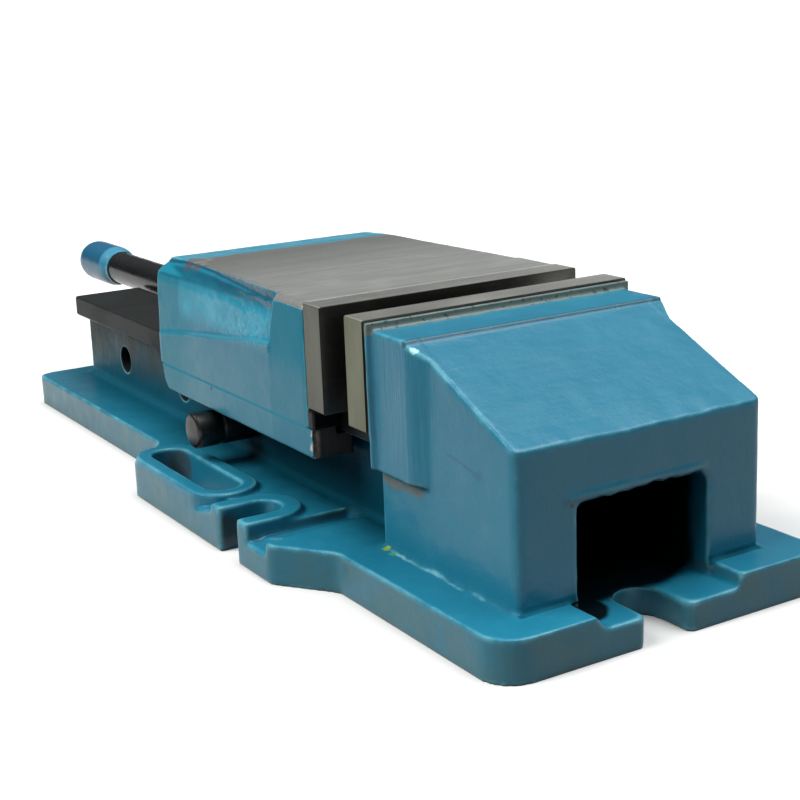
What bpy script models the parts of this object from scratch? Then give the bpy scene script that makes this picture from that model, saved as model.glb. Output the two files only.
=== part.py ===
# Hydraulic machine vise, 160 mm jaws.
# A cast bed with a fixed jaw head, a moving jaw that slides on ground rails,
# a locating pin that anchors the nut block in the bed, and a hollow spindle
# that holds a small hydraulic booster.
# Metres, +Z up, +X from the spindle end to the fixed jaw end.
# X_SHIFT puts the origin under the middle of the whole object; before that
# shift x = 0 is the clamping face of the fixed jaw plate.

import math
import bpy
import bmesh
from mathutils import Vector

MM = 0.001
X_SHIFT = 207.0            # from the fixed jaw face to the middle of the object

# ---- clamping faces and plates
JAW_HALF = 80.0            # half width of the hardened plates
PLATE_Z = (80.3, 135.6)
FIXED_PLATE_X = (0.0, 16.7)
OPENING = 25.2             # distance between the plates as drawn
MOVING_PLATE_X = (-41.8, -25.2)
PLATE_SCREW_Y = 45.0
PLATE_SCREW_Z = 108.0

# ---- base flange
FLANGE_Z = 21.0
BED_X = (-455.0, 146.0)
BED_END_HALF = 95.0
BED_REAR_HALF = 89.0
LUG_HALF = 117.5
LUG_TOP = 24.5
LUG_SLOT_W = 21.0
LUG_SLOT_Y = 97.3
LUG_SLOT_X = (-189.5, -117.0)     # arc centres of the closed slot
LUG_BOSS_R = 19.8
U_SLOT_X = -68.5
U_SLOT_Y = 97.0
U_BOSS_R = 21.5
END_SLOT_HALF = 12.0
END_SLOT_DEPTH = 20.0
FRONT_SLOT = (126.0, -3.5)        # arc centre of the front slot, cast a little off the middle

# ---- walls, rails and channel
WALL_Y = (38.0, 53.0)
WALL_X = (-435.0, 16.0)
RAIL_Y = (13.0, 63.0)
RAIL_Z = (66.0, 80.0)
RAIL_X = (-431.0, 16.0)
CHANNEL_HALF = 37.8
CHANNEL_Z = 14.5            # the channel's floor lies below the flange's top

# ---- fixed jaw block
BLOCK_X = (14.0, 125.5)
BLOCK_HALF = 71.3
HEAD_HALF = 76.7
HEAD_X = (15.0, 50.0, 62.0)       # front, end of full width, end of blend
HEAD_Z = (61.7, 130.8)
HEAD_TOP_END = 48.4
SLOPE_Z = (129.1, 94.3)           # at the head and at the end face
SEAT_X = (17.0, 20.0)
SEAT_HALF = 79.7
SEAT_Z = (62.0, 134.5)

# ---- locating pin and its holes
PIN_Z = 42.5
PIN_HOLE_R = 8.75
PIN_X = (-366.0, -266.0, -166.0)
PIN_AT = -166.0

# ---- spindle
AXIS_Z = 84.5
TUBE_R = 12.2
SCREW_R = 9.6

# ---- moving jaw
JAW_X = (-240.0, -42.0)
JAW_SIDE = 80.5
JAW_TOP = 135.6
JAW_SEAT_Z = 80.3
SKIRT_IN = 63.4
SKIRT_Z = 69.8
CAVITY_X = (-225.0, -58.0)
CAVITY_HALF = 34.0
CAVITY_TOP = 116.0
KEEL_HALF = 12.6
STRIP_X = (-231.0, -37.5)
STRIP_SCREW_X = (-70.0, -134.0, -198.0)
STRIP_SCREW_Y = 73.0

SEG = 28                           # sides on turned pieces

for old in list(bpy.data.objects):
    bpy.data.objects.remove(old, do_unlink=True)

collection = bpy.context.scene.collection


# ------------------------------------------------------------ materials
def material(name, colour, rough, metallic):
    m = bpy.data.materials.new(name)
    m.use_nodes = True
    shader = m.node_tree.nodes["Principled BSDF"]
    shader.inputs["Base Color"].default_value = (*colour, 1.0)
    shader.inputs["Roughness"].default_value = rough
    shader.inputs["Metallic"].default_value = metallic
    return m


def own(base, name):
    m = base.copy()
    m.name = name
    return m


PAINT = material("paint_base", (0.035, 0.19, 0.27), 0.30, 0.0)
HARD = material("hardened_base", (0.30, 0.29, 0.26), 0.32, 1.0)
BLACK = material("black_oxide_base", (0.018, 0.018, 0.020), 0.30, 0.6)
BRONZE = material("bronze_base", (0.45, 0.28, 0.11), 0.35, 1.0)
STEEL = material("steel_base", (0.36, 0.36, 0.37), 0.35, 1.0)
SEAL = material("seal_base", (0.012, 0.012, 0.012), 0.60, 0.0)


# ------------------------------------------------------------ mesh helpers
def new_object(name, bm):
    bmesh.ops.recalc_face_normals(bm, faces=bm.faces)
    if bm.calc_volume(signed=True) < 0:
        bmesh.ops.reverse_faces(bm, faces=bm.faces)
    mesh = bpy.data.meshes.new(name)
    bm.to_mesh(mesh)
    bm.free()
    obj = bpy.data.objects.new(name, mesh)
    collection.objects.link(obj)
    obj.location = (X_SHIFT * MM, 0.0, 0.0)
    return obj


def smooth(obj, angle=32.0):
    obj.data.shade_smooth()
    obj.data.set_sharp_from_angle(angle=math.radians(angle))
    return obj


def rounded(corners, seg=6):
    """Outline from (x, y, radius) corners; radius 0 keeps the corner."""
    out = []
    n = len(corners)
    for i in range(n):
        x, y, r = corners[i]
        here = Vector((x, y))
        if r <= 0:
            out.append((x, y))
            continue
        before = (Vector(corners[i - 1][:2]) - here).normalized()
        after = (Vector(corners[(i + 1) % n][:2]) - here).normalized()
        turn = before.angle(after)
        reach = r / math.tan(turn / 2)
        middle = here + (before + after).normalized() * (r / math.sin(turn / 2))
        a0 = here + before * reach - middle
        a1 = here + after * reach - middle
        start = math.atan2(a0.y, a0.x)
        sweep = math.atan2(a1.y, a1.x) - start
        while sweep > math.pi:
            sweep -= 2 * math.pi
        while sweep < -math.pi:
            sweep += 2 * math.pi
        for k in range(seg + 1):
            a = start + sweep * k / seg
            out.append((middle.x + r * math.cos(a), middle.y + r * math.sin(a)))
    return out


def arc(cx, cy, r, a0, a1, seg):
    return [(cx + r * math.cos(math.radians(a0 + (a1 - a0) * k / seg)),
             cy + r * math.sin(math.radians(a0 + (a1 - a0) * k / seg)))
            for k in range(seg + 1)]


def spot(axis, u, v, w):
    """Point with u, v in the outline's plane and w along the axis."""
    if axis == "Z":
        return (u * MM, v * MM, w * MM)
    if axis == "Y":
        return (u * MM, w * MM, v * MM)
    return (w * MM, u * MM, v * MM)


def prism(name, outline, axis, low, high):
    bm = bmesh.new()
    face = bm.faces.new([bm.verts.new(spot(axis, u, v, low)) for u, v in outline])
    grown = bmesh.ops.extrude_face_region(bm, geom=[face])
    step = Vector(spot(axis, 0.0, 0.0, high - low))
    bmesh.ops.translate(bm, vec=step,
                        verts=[g for g in grown["geom"] if isinstance(g, bmesh.types.BMVert)])
    return new_object(name, bm)


def block(name, x, y, z):
    return prism(name, [(x[0], y[0]), (x[1], y[0]), (x[1], y[1]), (x[0], y[1])],
                 "Z", z[0], z[1])


def loft(name, stations):
    """Closed skin through outlines that all have the same number of points."""
    bm = bmesh.new()
    rings = [[bm.verts.new(tuple(c * MM for c in p)) for p in ring] for ring in stations]
    n = len(rings[0])
    for a, b in zip(rings, rings[1:]):
        for i in range(n):
            j = (i + 1) % n
            bm.faces.new((a[i], a[j], b[j], b[i]))
    bm.faces.new(rings[0])
    bm.faces.new(list(reversed(rings[-1])))
    return new_object(name, bm)


def turned(name, profile, axis="X", centre=(0.0, AXIS_Z), seg=SEG, closed=False, phase=0.0):
    """Lathe a profile of (distance along the axis, radius) points.
    centre is the axis's place in the two other directions. A closed profile
    makes a ring or a tube, an open one a solid piece with flat ends."""
    bm = bmesh.new()
    rings = []
    for w, r in profile:
        ring = []
        for k in range(seg):
            a = 2 * math.pi * k / seg + phase
            ring.append(bm.verts.new(spot(axis, centre[0] + r * math.cos(a),
                                          centre[1] + r * math.sin(a), w)))
        rings.append(ring)
    pairs = list(zip(rings, rings[1:]))
    if closed:
        pairs.append((rings[-1], rings[0]))
    for a, b in pairs:
        for i in range(seg):
            j = (i + 1) % seg
            bm.faces.new((a[i], a[j], b[j], b[i]))
    if not closed:
        bm.faces.new(rings[0])
        bm.faces.new(list(reversed(rings[-1])))
    return smooth(new_object(name, bm))


def coil(name, x0, x1, turns, mean_r, wire_r, centre_z=AXIS_Z, steps=11, sides=5):
    """Helical compression spring along X with closed ends."""
    bm = bmesh.new()
    rings = []
    count = int(turns * steps)
    for k in range(count + 1):
        t = k / count
        a = 2 * math.pi * turns * t
        x = x0 + wire_r + (x1 - x0 - 2 * wire_r) * t
        radial = Vector((0.0, math.cos(a), math.sin(a)))
        along = Vector((1.0, 0.0, 0.0))
        mid = Vector((x, 0.0, centre_z)) + radial * mean_r
        ring = []
        for s in range(sides):
            b = 2 * math.pi * s / sides
            p = mid + radial * (wire_r * math.cos(b)) + along * (wire_r * math.sin(b))
            ring.append(bm.verts.new(p * MM))
        rings.append(ring)
    for a, b in zip(rings, rings[1:]):
        for i in range(sides):
            j = (i + 1) % sides
            bm.faces.new((a[i], a[j], b[j], b[i]))
    bm.faces.new(rings[0])
    bm.faces.new(list(reversed(rings[-1])))
    return smooth(new_object(name, bm))


# ------------------------------------------------------------ boolean helpers
def tool(obj):
    obj.hide_render = True
    obj.display_type = "WIRE"
    return obj


def boolean(obj, other, operation):
    mod = obj.modifiers.new(other.name, "BOOLEAN")
    mod.operation = operation
    mod.solver = "EXACT"
    mod.object = tool(other)


def join(obj, *others):
    for other in others:
        boolean(obj, other, "UNION")


def cut(obj, *others):
    for other in others:
        boolean(obj, other, "DIFFERENCE")


# ------------------------------------------------------------ placing
def pivot(name, x, y, z, parent=None):
    """Empty on a joint's axis; moving pieces hang from it."""
    e = bpy.data.objects.new(name, None)
    e.empty_display_size = 0.03
    collection.objects.link(e)
    here = Vector(((x + X_SHIFT) * MM, y * MM, z * MM))
    e["at"] = list(here)
    base = Vector(parent["at"]) if parent else Vector((0, 0, 0))
    e.parent = parent
    e.location = here - base
    return e


def hang(obj, parent, mat):
    """Move the mesh so that the object's origin is on the parent's axis."""
    here = Vector(parent["at"])
    shift = Vector((X_SHIFT * MM, 0, 0)) - here
    for v in obj.data.vertices:
        v.co += shift
    obj.parent = parent
    obj.location = (0.0, 0.0, 0.0)
    obj.data.materials.clear()
    obj.data.materials.append(own(mat, obj.name))
    return obj


def mirrored(outline):
    return [(x, -y) for x, y in reversed(outline)]


vise = pivot("vise", -X_SHIFT, 0.0, 0.0)
pin_axis = pivot("pin_axis", PIN_AT, 0.0, PIN_Z, vise)
jaw_carriage = pivot("jaw_carriage", JAW_X[1], 0.0, JAW_SEAT_Z, vise)
spindle_axis = pivot("spindle_axis", -241.3, 0.0, AXIS_Z, jaw_carriage)
drive_axis = pivot("drive_axis", -516.0, 0.0, AXIS_Z, spindle_axis)
primary_axis = pivot("primary_axis", -440.0, 0.0, AXIS_Z, spindle_axis)
output_axis = pivot("output_axis", -300.0, 0.0, AXIS_Z, spindle_axis)


# ============================================================ bed casting
near_side = [
    (BED_X[0], -BED_REAR_HALF, 10), (-226.0, -BED_REAR_HALF, 14),
    (-198.0, -LUG_HALF, 12), (-21.5, -LUG_HALF, 12), (9.4, -BED_END_HALF, 12),
    (BED_X[1], -BED_END_HALF, 17),
]
far_side = [(x, -y, r) for x, y, r in reversed(near_side)]
bed = prism("bed_casting", rounded(near_side + far_side), "Z", 0.0, FLANGE_Z)

for side, tag in ((-1, "near"), (1, "far")):
    def ys(a, b):
        return (min(side * a, side * b), max(side * a, side * b))

    # sunk run-outs beside the lugs, cut before the raised bosses are added
    y0, y1 = ys(54.5, 130.0)
    cut(bed, prism("trough_" + tag, [(-47.0, 15.0), (-25.0, FLANGE_Z + 0.5), (-25.0, 40.0),
                                     (-47.0, 40.0)], "Y", y0, y1))
    y0, y1 = ys(107.5, 130.0)
    cut(bed, block("edge_notch_" + tag, (-48.0, -25.5), (y0, y1), (14.6, 40.0)))
    y0, y1 = ys(103.0, 130.0)
    cut(bed, prism("sunk_corner_" + tag, [(-122.0, 13.2), (-89.0, 20.6), (-89.0, 40.0),
                                          (-122.0, 40.0)], "Y", y0, y1))
    # raised boss round the closed slot
    ring = (arc(LUG_SLOT_X[1], -LUG_SLOT_Y, LUG_BOSS_R, -90, 90, 14)
            + arc(LUG_SLOT_X[0], -LUG_SLOT_Y, LUG_BOSS_R, 90, 270, 14))
    # raised boss round the open slot
    horse = ([(U_SLOT_X - U_BOSS_R, -LUG_HALF + 0.25), (U_SLOT_X + U_BOSS_R, -LUG_HALF + 0.25)]
             + arc(U_SLOT_X, -U_SLOT_Y, U_BOSS_R, 0, 180, 14))
    # bolt slots
    closed_slot = (arc(LUG_SLOT_X[1], -LUG_SLOT_Y, LUG_SLOT_W / 2, -90, 90, 12)
                   + arc(LUG_SLOT_X[0], -LUG_SLOT_Y, LUG_SLOT_W / 2, 90, 270, 12))
    open_slot = ([(U_SLOT_X - LUG_SLOT_W / 2, -140.0), (U_SLOT_X + LUG_SLOT_W / 2, -140.0)]
                 + arc(U_SLOT_X, -U_SLOT_Y, LUG_SLOT_W / 2, 0, 180, 12))
    if side > 0:
        ring, horse, closed_slot, open_slot = (mirrored(o) for o in
                                               (ring, horse, closed_slot, open_slot))
    join(bed, prism("slot_boss_" + tag, ring, "Z", 3.0, LUG_TOP),
         prism("open_boss_" + tag, horse, "Z", 3.0, LUG_TOP))
    cut(bed, prism("closed_slot_" + tag, closed_slot, "Z", -5.0, 40.0),
        prism("open_slot_" + tag, open_slot, "Z", -5.0, 40.0))

    # side wall with a small foot, and the rail head on it
    w = [(WALL_Y[0], 15.0), (WALL_Y[1] + 3.0, 15.0), (WALL_Y[1] + 3.0, FLANGE_Z + 0.4),
         (WALL_Y[1] + 0.6, FLANGE_Z + 1.6), (WALL_Y[1], FLANGE_Z + 4.0),
         (WALL_Y[1], 70.0), (WALL_Y[0], 70.0)]
    r = rounded([(RAIL_Y[0], RAIL_Z[0], 0.8), (RAIL_Y[1], RAIL_Z[0], 1.2),
                 (RAIL_Y[1], RAIL_Z[1], 0.8), (RAIL_Y[0], RAIL_Z[1], 0.8)], 2)
    if side < 0:
        w = [(-y, z) for y, z in reversed(w)]
        r = [(-y, z) for y, z in reversed(r)]
    join(bed, prism("wall_" + tag, w, "X", WALL_X[0], WALL_X[1] + 2.0),
         prism("rail_" + tag, r, "X", RAIL_X[0], RAIL_X[1] + 4.0))

# fixed jaw block and its wider head
foot = rounded([(BLOCK_X[0], -BLOCK_HALF, 0), (BLOCK_X[1], -BLOCK_HALF, 4),
                (BLOCK_X[1], BLOCK_HALF, 4), (BLOCK_X[0], BLOCK_HALF, 0)], 3)
head = rounded([(HEAD_X[0], -HEAD_HALF, 1.5), (HEAD_X[1], -HEAD_HALF, 10),
                (HEAD_X[2], -BLOCK_HALF + 0.6, 0), (HEAD_X[2], BLOCK_HALF - 0.6, 0),
                (HEAD_X[1], HEAD_HALF, 10), (HEAD_X[0], HEAD_HALF, 1.5)], 3)
join(bed, prism("fixed_block", foot, "Z", 12.0, HEAD_Z[1]))
join(bed, prism("fixed_head", head, "Z", HEAD_Z[0], HEAD_Z[1]))
# sloping top, with the small step down at the back of the head
cut(bed, prism("slope", [(HEAD_TOP_END, SLOPE_Z[0]), (140.0, SLOPE_Z[0]
                         - (140.0 - HEAD_TOP_END) * (SLOPE_Z[0] - SLOPE_Z[1])
                         / (BLOCK_X[1] - HEAD_TOP_END)),
                         (140.0, 150.0), (HEAD_TOP_END, 150.0)], "Y", -100.0, 100.0))
# machined seat lip behind the fixed plate
join(bed, block("seat_lip", (SEAT_X[0] + 0.4, SEAT_X[1]), (-SEAT_HALF, SEAT_HALF), SEAT_Z))
cut(bed, block("plate_seat", (-20.0, SEAT_X[0]), (-100.0, 100.0), (RAIL_Z[1], 160.0)))
# concave corners where the side walls meet the block
for side, tag in ((-1, "near"), (1, "far")):
    web = [(16.0, side * 52.0)] + [(x, side * y) for x, y in
                                   arc(BLOCK_X[0] - 12.0, WALL_Y[1] + 12.0, 12.0, -90, 0, 6)] \
        + [(16.0, side * 65.0)]
    join(bed, prism("web_" + tag, web, "Z", 15.0, 67.0))
# channel, running out through the block as a tunnel
mouth = rounded([(-CHANNEL_HALF, CHANNEL_Z, 0), (CHANNEL_HALF, CHANNEL_Z, 0),
                 (CHANNEL_HALF, RAIL_Z[0], 7), (-CHANNEL_HALF, RAIL_Z[0], 4)], 4)
cut(bed, prism("tunnel", mouth, "X", -1.0, 150.0))
cut(bed, block("tunnel_rear", (-460.0, 1.0), (-CHANNEL_HALF, CHANNEL_HALF),
               (CHANNEL_Z, RAIL_Z[0])))
# the run-out in front of the mouth has leaning sides
cut(bed, prism("runout_near", [(-45.0, 22.5), (-38.4, CHANNEL_Z + 0.2), (-37.0, CHANNEL_Z + 0.2),
                               (-37.0, 40.0), (-45.0, 40.0)], "X", 126.0, 150.0),
    prism("runout_far", [(37.0, CHANNEL_Z + 0.2), (38.6, CHANNEL_Z + 0.2), (41.0, 22.5),
                         (41.0, 40.0), (37.0, 40.0)], "X", 126.0, 150.0))
# slot between the rails, up to the block
cut(bed, block("rail_slot", (-460.0, 13.0), (-RAIL_Y[0], RAIL_Y[0]), (60.0, 100.0)))

# end slots in the flange, keyways underneath, pin holes
x_rear = BED_X[0] + END_SLOT_DEPTH - END_SLOT_HALF
rear_slot = arc(x_rear, 0.0, END_SLOT_HALF, -90, 90, 12) + [(BED_X[0] - 20.0, END_SLOT_HALF),
                                                            (BED_X[0] - 20.0, -END_SLOT_HALF)]
low_y, high_y = FRONT_SLOT[1] - END_SLOT_HALF, FRONT_SLOT[1] + END_SLOT_HALF
front_slot = (arc(FRONT_SLOT[0], FRONT_SLOT[1], END_SLOT_HALF, 90, 270, 12)
              + [(BED_X[1] - 3.0, low_y), (BED_X[1] + 3.0, low_y - 6.0), (BED_X[1] + 20.0, low_y - 6.0),
                 (BED_X[1] + 20.0, high_y + 6.0), (BED_X[1] + 3.0, high_y + 6.0),
                 (BED_X[1] - 3.0, high_y)])
cut(bed, prism("end_slot_front", front_slot, "Z", -5.0, 24.9),
    prism("end_slot_rear", rear_slot, "Z", -5.0, 60.0))
cut(bed, block("keyway_front", (40.0, 105.0), (-9.0, 9.0), (-3.0, 5.0)),
    block("keyway_rear", (-440.0, -380.0), (-9.0, 9.0), (-3.0, 5.0)))
for i, x in enumerate(PIN_X):
    for side, tag in ((-1, "near"), (1, "far")):
        cut(bed, turned("pin_hole_%d_%s" % (i + 1, tag),
                        [(side * 30.0, PIN_HOLE_R), (side * 62.0, PIN_HOLE_R)][::side],
                        "Y", (x, PIN_Z), 28))
# tapped holes for the fixed plate's screws
for side, tag in ((-1, "near"), (1, "far")):
    cut(bed, turned("fixed_tap_" + tag, [(5.0, 5.3), (40.0, 5.3)], "X",
                    (side * PLATE_SCREW_Y, PLATE_SCREW_Z), 14))
smooth(bed, 28.0)
hang(bed, vise, PAINT)


# ============================================================ hardened plates
def jaw_plate(name, x, face_low, parent):
    """Ground plate with two counterbored screw holes; face_low says that the
    clamping face is the one with the lower x."""
    plate = prism(name, rounded([(-JAW_HALF, PLATE_Z[0], 0.6), (JAW_HALF, PLATE_Z[0], 0.6),
                                 (JAW_HALF, PLATE_Z[1], 0.6), (-JAW_HALF, PLATE_Z[1], 0.6)], 1),
                  "X", x[0], x[1])
    for side, tag in ((-1, "near"), (1, "far")):
        c = (side * PLATE_SCREW_Y, PLATE_SCREW_Z)
        cut(plate, turned(name + "_hole_" + tag, [(x[0] - 5, 5.3), (x[1] + 5, 5.3)], "X", c, 18))
        deep = (x[0] - 5, x[0] + 10.8) if face_low else (x[1] - 10.8, x[1] + 5)
        cut(plate, turned(name + "_bore_" + tag, [(deep[0], 8.4), (deep[1], 8.4)], "X", c, 20))
    return hang(plate, parent, HARD)


def cap_screw(name, axis, centre, seat, way, head_r, head_h, shank_r, shank_l, parent, mat=BLACK):
    """Socket cap screw. seat is where the head's underside lies; way is the
    direction of the shank along the axis (+1 or -1)."""
    w = [(seat - way * head_h, head_r - 0.6), (seat - way * (head_h - 0.6), head_r),
         (seat, head_r), (seat, shank_r), (seat + way * (shank_l - 0.8), shank_r),
         (seat + way * shank_l, shank_r - 0.8)]
    if way < 0:
        w = w[::-1]
    screw = turned(name, w, axis, centre, 14)
    hex_r = head_r * 0.56
    a, b = sorted((seat - way * (head_h + 2.0), seat - way * head_h * 0.45))
    cut(screw, turned(name + "_socket", [(a, hex_r), (b, hex_r)], axis, centre, 6))
    return hang(screw, parent, mat)


jaw_plate("fixed_jaw_plate", FIXED_PLATE_X, True, vise)
for side, tag in ((-1, "near"), (1, "far")):
    cap_screw("fixed_plate_screw_" + tag, "X", (side * PLATE_SCREW_Y, PLATE_SCREW_Z),
              FIXED_PLATE_X[0] + 10.5, 1, 8.0, 10.0, 5.0, 28.0, vise)
jaw_plate("moving_jaw_plate", MOVING_PLATE_X, False, jaw_carriage)
for side, tag in ((-1, "near"), (1, "far")):
    cap_screw("moving_plate_screw_" + tag, "X", (side * PLATE_SCREW_Y, PLATE_SCREW_Z),
              MOVING_PLATE_X[1] - 10.5, -1, 8.0, 10.0, 5.0, 28.0, jaw_carriage)


# ============================================================ moving jaw casting
plan = rounded([(JAW_X[1], -JAW_SIDE, 0), (JAW_X[1], JAW_SIDE, 0),
                (JAW_X[0], JAW_SIDE, 9), (JAW_X[0], -JAW_SIDE, 9)], 4)
jaw = prism("moving_jaw_casting", plan, "Z", SKIRT_Z, JAW_TOP)
# painted slope down to the back edge, and the chamfered lower back corner
cut(jaw, prism("jaw_back_slope", [(-187.4, JAW_TOP + 1.0), (-232.0, JAW_TOP - 1.4),
                                  (-237.0, JAW_TOP - 3.4), (-239.4, JAW_TOP - 7.0),
                                  (-241.0, JAW_TOP - 12.0), (-260.0, JAW_TOP - 12.0),
                                  (-260.0, 150.0), (-187.4, 150.0)], "Y", -100.0, 100.0))
cut(jaw, prism("jaw_back_corner", [(-230.0, 60.0), (-230.0, 68.0), (-236.0, 71.8),
                                   (-241.0, 77.0), (-260.0, 77.0), (-260.0, 60.0)],
               "Y", -100.0, 100.0))
for side, tag in ((-1, "near"), (1, "far")):
    # bare chamfer along the top edge of the full-width front part
    tri = [(side * (JAW_SIDE - 7.0), JAW_TOP + 4.0), (side * (JAW_SIDE + 5.0), JAW_TOP - 8.0),
           (side * (JAW_SIDE + 5.0), JAW_TOP + 4.0)]
    cut(jaw, prism("jaw_chamfer_" + tag, tri, "X", -100.0, -30.0))

    # long relief behind the front part: a ledge that falls towards the back,
    # a slightly crowned shoulder above it, and an upright strip under the top
    stations = []
    for x, ledge, strip_low, strip_y in ((-84.0, 107.2, 129.4, 75.5), (-92.0, 106.2, 129.6, 75.2),
                                         (-117.0, 103.6, 130.7, 73.7), (-143.0, 100.0, 132.0, 72.2),
                                         (-171.0, 96.7, 133.2, 70.8), (-200.0, 93.0, 133.5, 70.4),
                                         (-231.0, 88.4, 130.8, 69.0), (-262.0, 84.0, 128.8, 67.0)):
        ring = [(JAW_SIDE + 6.2, ledge - 4.4), (78.6, ledge + 1.4),
                (78.0, 0.5 * ledge + 59.0), (77.4, 120.0), (75.9, 126.0),
                (strip_y + 1.6, strip_low - 0.6), (strip_y, strip_low), (strip_y, 145.0),
                (JAW_SIDE + 6.2, 145.0)]
        row = []
        for y, z in ring:
            lean = 11.0 * max(0.0, min(1.0, (z - 106.0) / 29.0)) if x == -84.0 else 0.0
            row.append((x + lean, side * y, z))
        stations.append(row)
    cut(jaw, loft("jaw_relief_" + tag, stations))

# the foot runs out a little under the plate
join(jaw, block("jaw_toe_near", (-44.0, -36.0), (-JAW_SIDE, -SKIRT_IN - 2.0), (SKIRT_Z, 80.0)),
     block("jaw_toe_far", (-44.0, -36.0), (SKIRT_IN + 2.0, JAW_SIDE), (SKIRT_Z, 80.0)))
# space over the rails, hollow inside, and guide keels between the rails
cut(jaw, block("over_rails", (-300.0, 0.0), (-SKIRT_IN, SKIRT_IN), (50.0, JAW_SEAT_Z)))
cut(jaw, prism("jaw_hollow", rounded([(CAVITY_X[0], -CAVITY_HALF, 8), (CAVITY_X[1], -CAVITY_HALF, 8),
                                      (CAVITY_X[1], CAVITY_HALF, 8), (CAVITY_X[0], CAVITY_HALF, 8)],
                                     3), "Z", 60.0, CAVITY_TOP))
join(jaw, block("keel_rear", (-237.0, -226.0), (-KEEL_HALF, KEEL_HALF), (67.0, 90.0)),
     block("keel_front", (-57.0, -43.0), (-KEEL_HALF, KEEL_HALF), (67.0, 90.0)))
cut(jaw, turned("bush_bore", [(-260.0, 12.0), (-220.0, 12.0)], "X", seg=28),
    turned("pad_bore", [(-70.0, 11.6), (-52.0, 11.6)], "X", seg=28))
for side, tag in ((-1, "near"), (1, "far")):
    cut(jaw, turned("moving_tap_" + tag, [(-66.0, 5.3), (-30.0, 5.3)], "X",
                    (side * PLATE_SCREW_Y, PLATE_SCREW_Z), 14))
    for i, x in enumerate(STRIP_SCREW_X):
        cut(jaw, turned("strip_tap_%s_%d" % (tag, i + 1), [(60.0, 3.3), (85.0, 3.3)], "Z",
                        (x, side * STRIP_SCREW_Y), 12))
smooth(jaw, 28.0)
hang(jaw, jaw_carriage, PAINT)

# keep strips under the rail heads, with their screws
for side, tag in ((-1, "near"), (1, "far")):
    sec = [(57.0, 54.0), (79.5, 54.0), (80.5, 55.0), (80.5, 69.5), (66.3, 69.5), (66.3, 65.7),
           (57.0, 65.7)]
    sec = [(side * y, z) for y, z in (sec if side > 0 else reversed(sec))]
    strip = prism("keep_strip_" + tag, sec, "X", STRIP_X[0], STRIP_X[1])
    cut(strip, prism("strip_corner_" + tag, [(-224.0, 50.0), (-224.0, 54.0), (-229.0, 60.0),
                                             (-231.2, 69.8), (-245.0, 69.8), (-245.0, 50.0)],
                     "Y", -100.0, 100.0))
    for i, x in enumerate(STRIP_SCREW_X):
        c = (x, side * STRIP_SCREW_Y)
        cut(strip, turned("strip_hole_%s_%d" % (tag, i + 1), [(50.0, 3.4), (75.0, 3.4)], "Z", c, 12),
            turned("strip_bore_%s_%d" % (tag, i + 1), [(50.0, 5.6), (61.0, 5.6)], "Z", c, 14))
        cap_screw("keep_strip_screw_%s_%d" % (tag, i + 1), "Z", c, 60.7, 1, 5.2, 6.0, 3.0, 22.0,
                  jaw_carriage)
    smooth(strip)
    hang(strip, jaw_carriage, PAINT)

hang(turned("spindle_bush", [(-239.5, 10.0), (-239.5, 11.7), (-226.3, 11.7), (-226.3, 10.0)],
            closed=True), jaw_carriage, BRONZE)
hang(turned("thrust_pad", [(-61.5, 9.5), (-60.5, 11.3), (-52.3, 11.3)]), jaw_carriage, STEEL)


# ============================================================ nut block
nut_block = block("nut_block", (-196.0, -136.0), (-37.4, 37.4), (15.0, 65.6))
join(nut_block, block("nut_neck", (-181.0, -151.0), (-12.4, 12.4), (60.0, 90.0)))
join(nut_block, prism("nut_housing", rounded([(-28.0, 80.6, 0), (28.0, 80.6, 0), (28.0, 108.0, 10),
                                              (-28.0, 108.0, 10)], 4), "X", -181.0, -151.0))
cut(nut_block, turned("nut_seat", [(-200.0, 12.0), (-130.0, 12.0)], "X", seg=28),
    turned("block_pin_hole", [(-50.0, PIN_HOLE_R), (50.0, PIN_HOLE_R)], "Y", (PIN_AT, PIN_Z), 28),
    turned("nut_screw_hole", [(90.0, 3.3), (120.0, 3.3)], "Z", (PIN_AT, 0.0), 20))
smooth(nut_block)
hang(nut_block, vise, STEEL)
hang(turned("spindle_nut", [(-181.0, 9.9), (-181.0, 11.7), (-151.0, 11.7), (-151.0, 9.9)],
            closed=True), vise, BRONZE)
hang(turned("nut_set_screw", [(96.6, 2.2), (97.4, 3.0), (107.6, 3.0)], "Z", (PIN_AT, 0.0), 20),
     vise, BLACK)


# ============================================================ locating pin
pin = turned("locating_pin", [(-92.0, 8.6), (-91.0, 10.1), (-90.2, 10.5), (-77.4, 10.5), (-77.0, 10.2),
                              (-77.0, 9.3), (-74.5, 9.3), (-74.5, 10.2), (-74.1, 10.5), (-54.6, 10.5),
                              (-54.2, 10.2), (-54.0, 8.45), (54.0, 8.45), (56.0, 6.8)],
             "Y", (PIN_AT, PIN_Z), 28)
hang(pin, pin_axis, STEEL)


# ============================================================ spindle and booster
sleeve = turned("spindle_sleeve", [
    (-516.0, 11.4), (-496.0, 11.4), (-496.0, TUBE_R), (-242.8, TUBE_R), (-241.3, TUBE_R - 1.5),
    (-241.3, SCREW_R), (-61.8 - 2.6, SCREW_R), (-63.4, SCREW_R - 1.4),
    (-63.4, 4.4), (-262.0, 4.4), (-262.0, 9.8), (-516.0, 9.8)], closed=True)
cut(sleeve, turned("key_hole", [(5.0, 2.8), (20.0, 2.8)], "Y", (-424.0, AXIS_Z), 18),
    turned("oil_hole", [(5.0, 2.8), (20.0, 2.8)], "Y", (-315.0, AXIS_Z), 18))
hang(sleeve, spindle_axis, BLACK)

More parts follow.
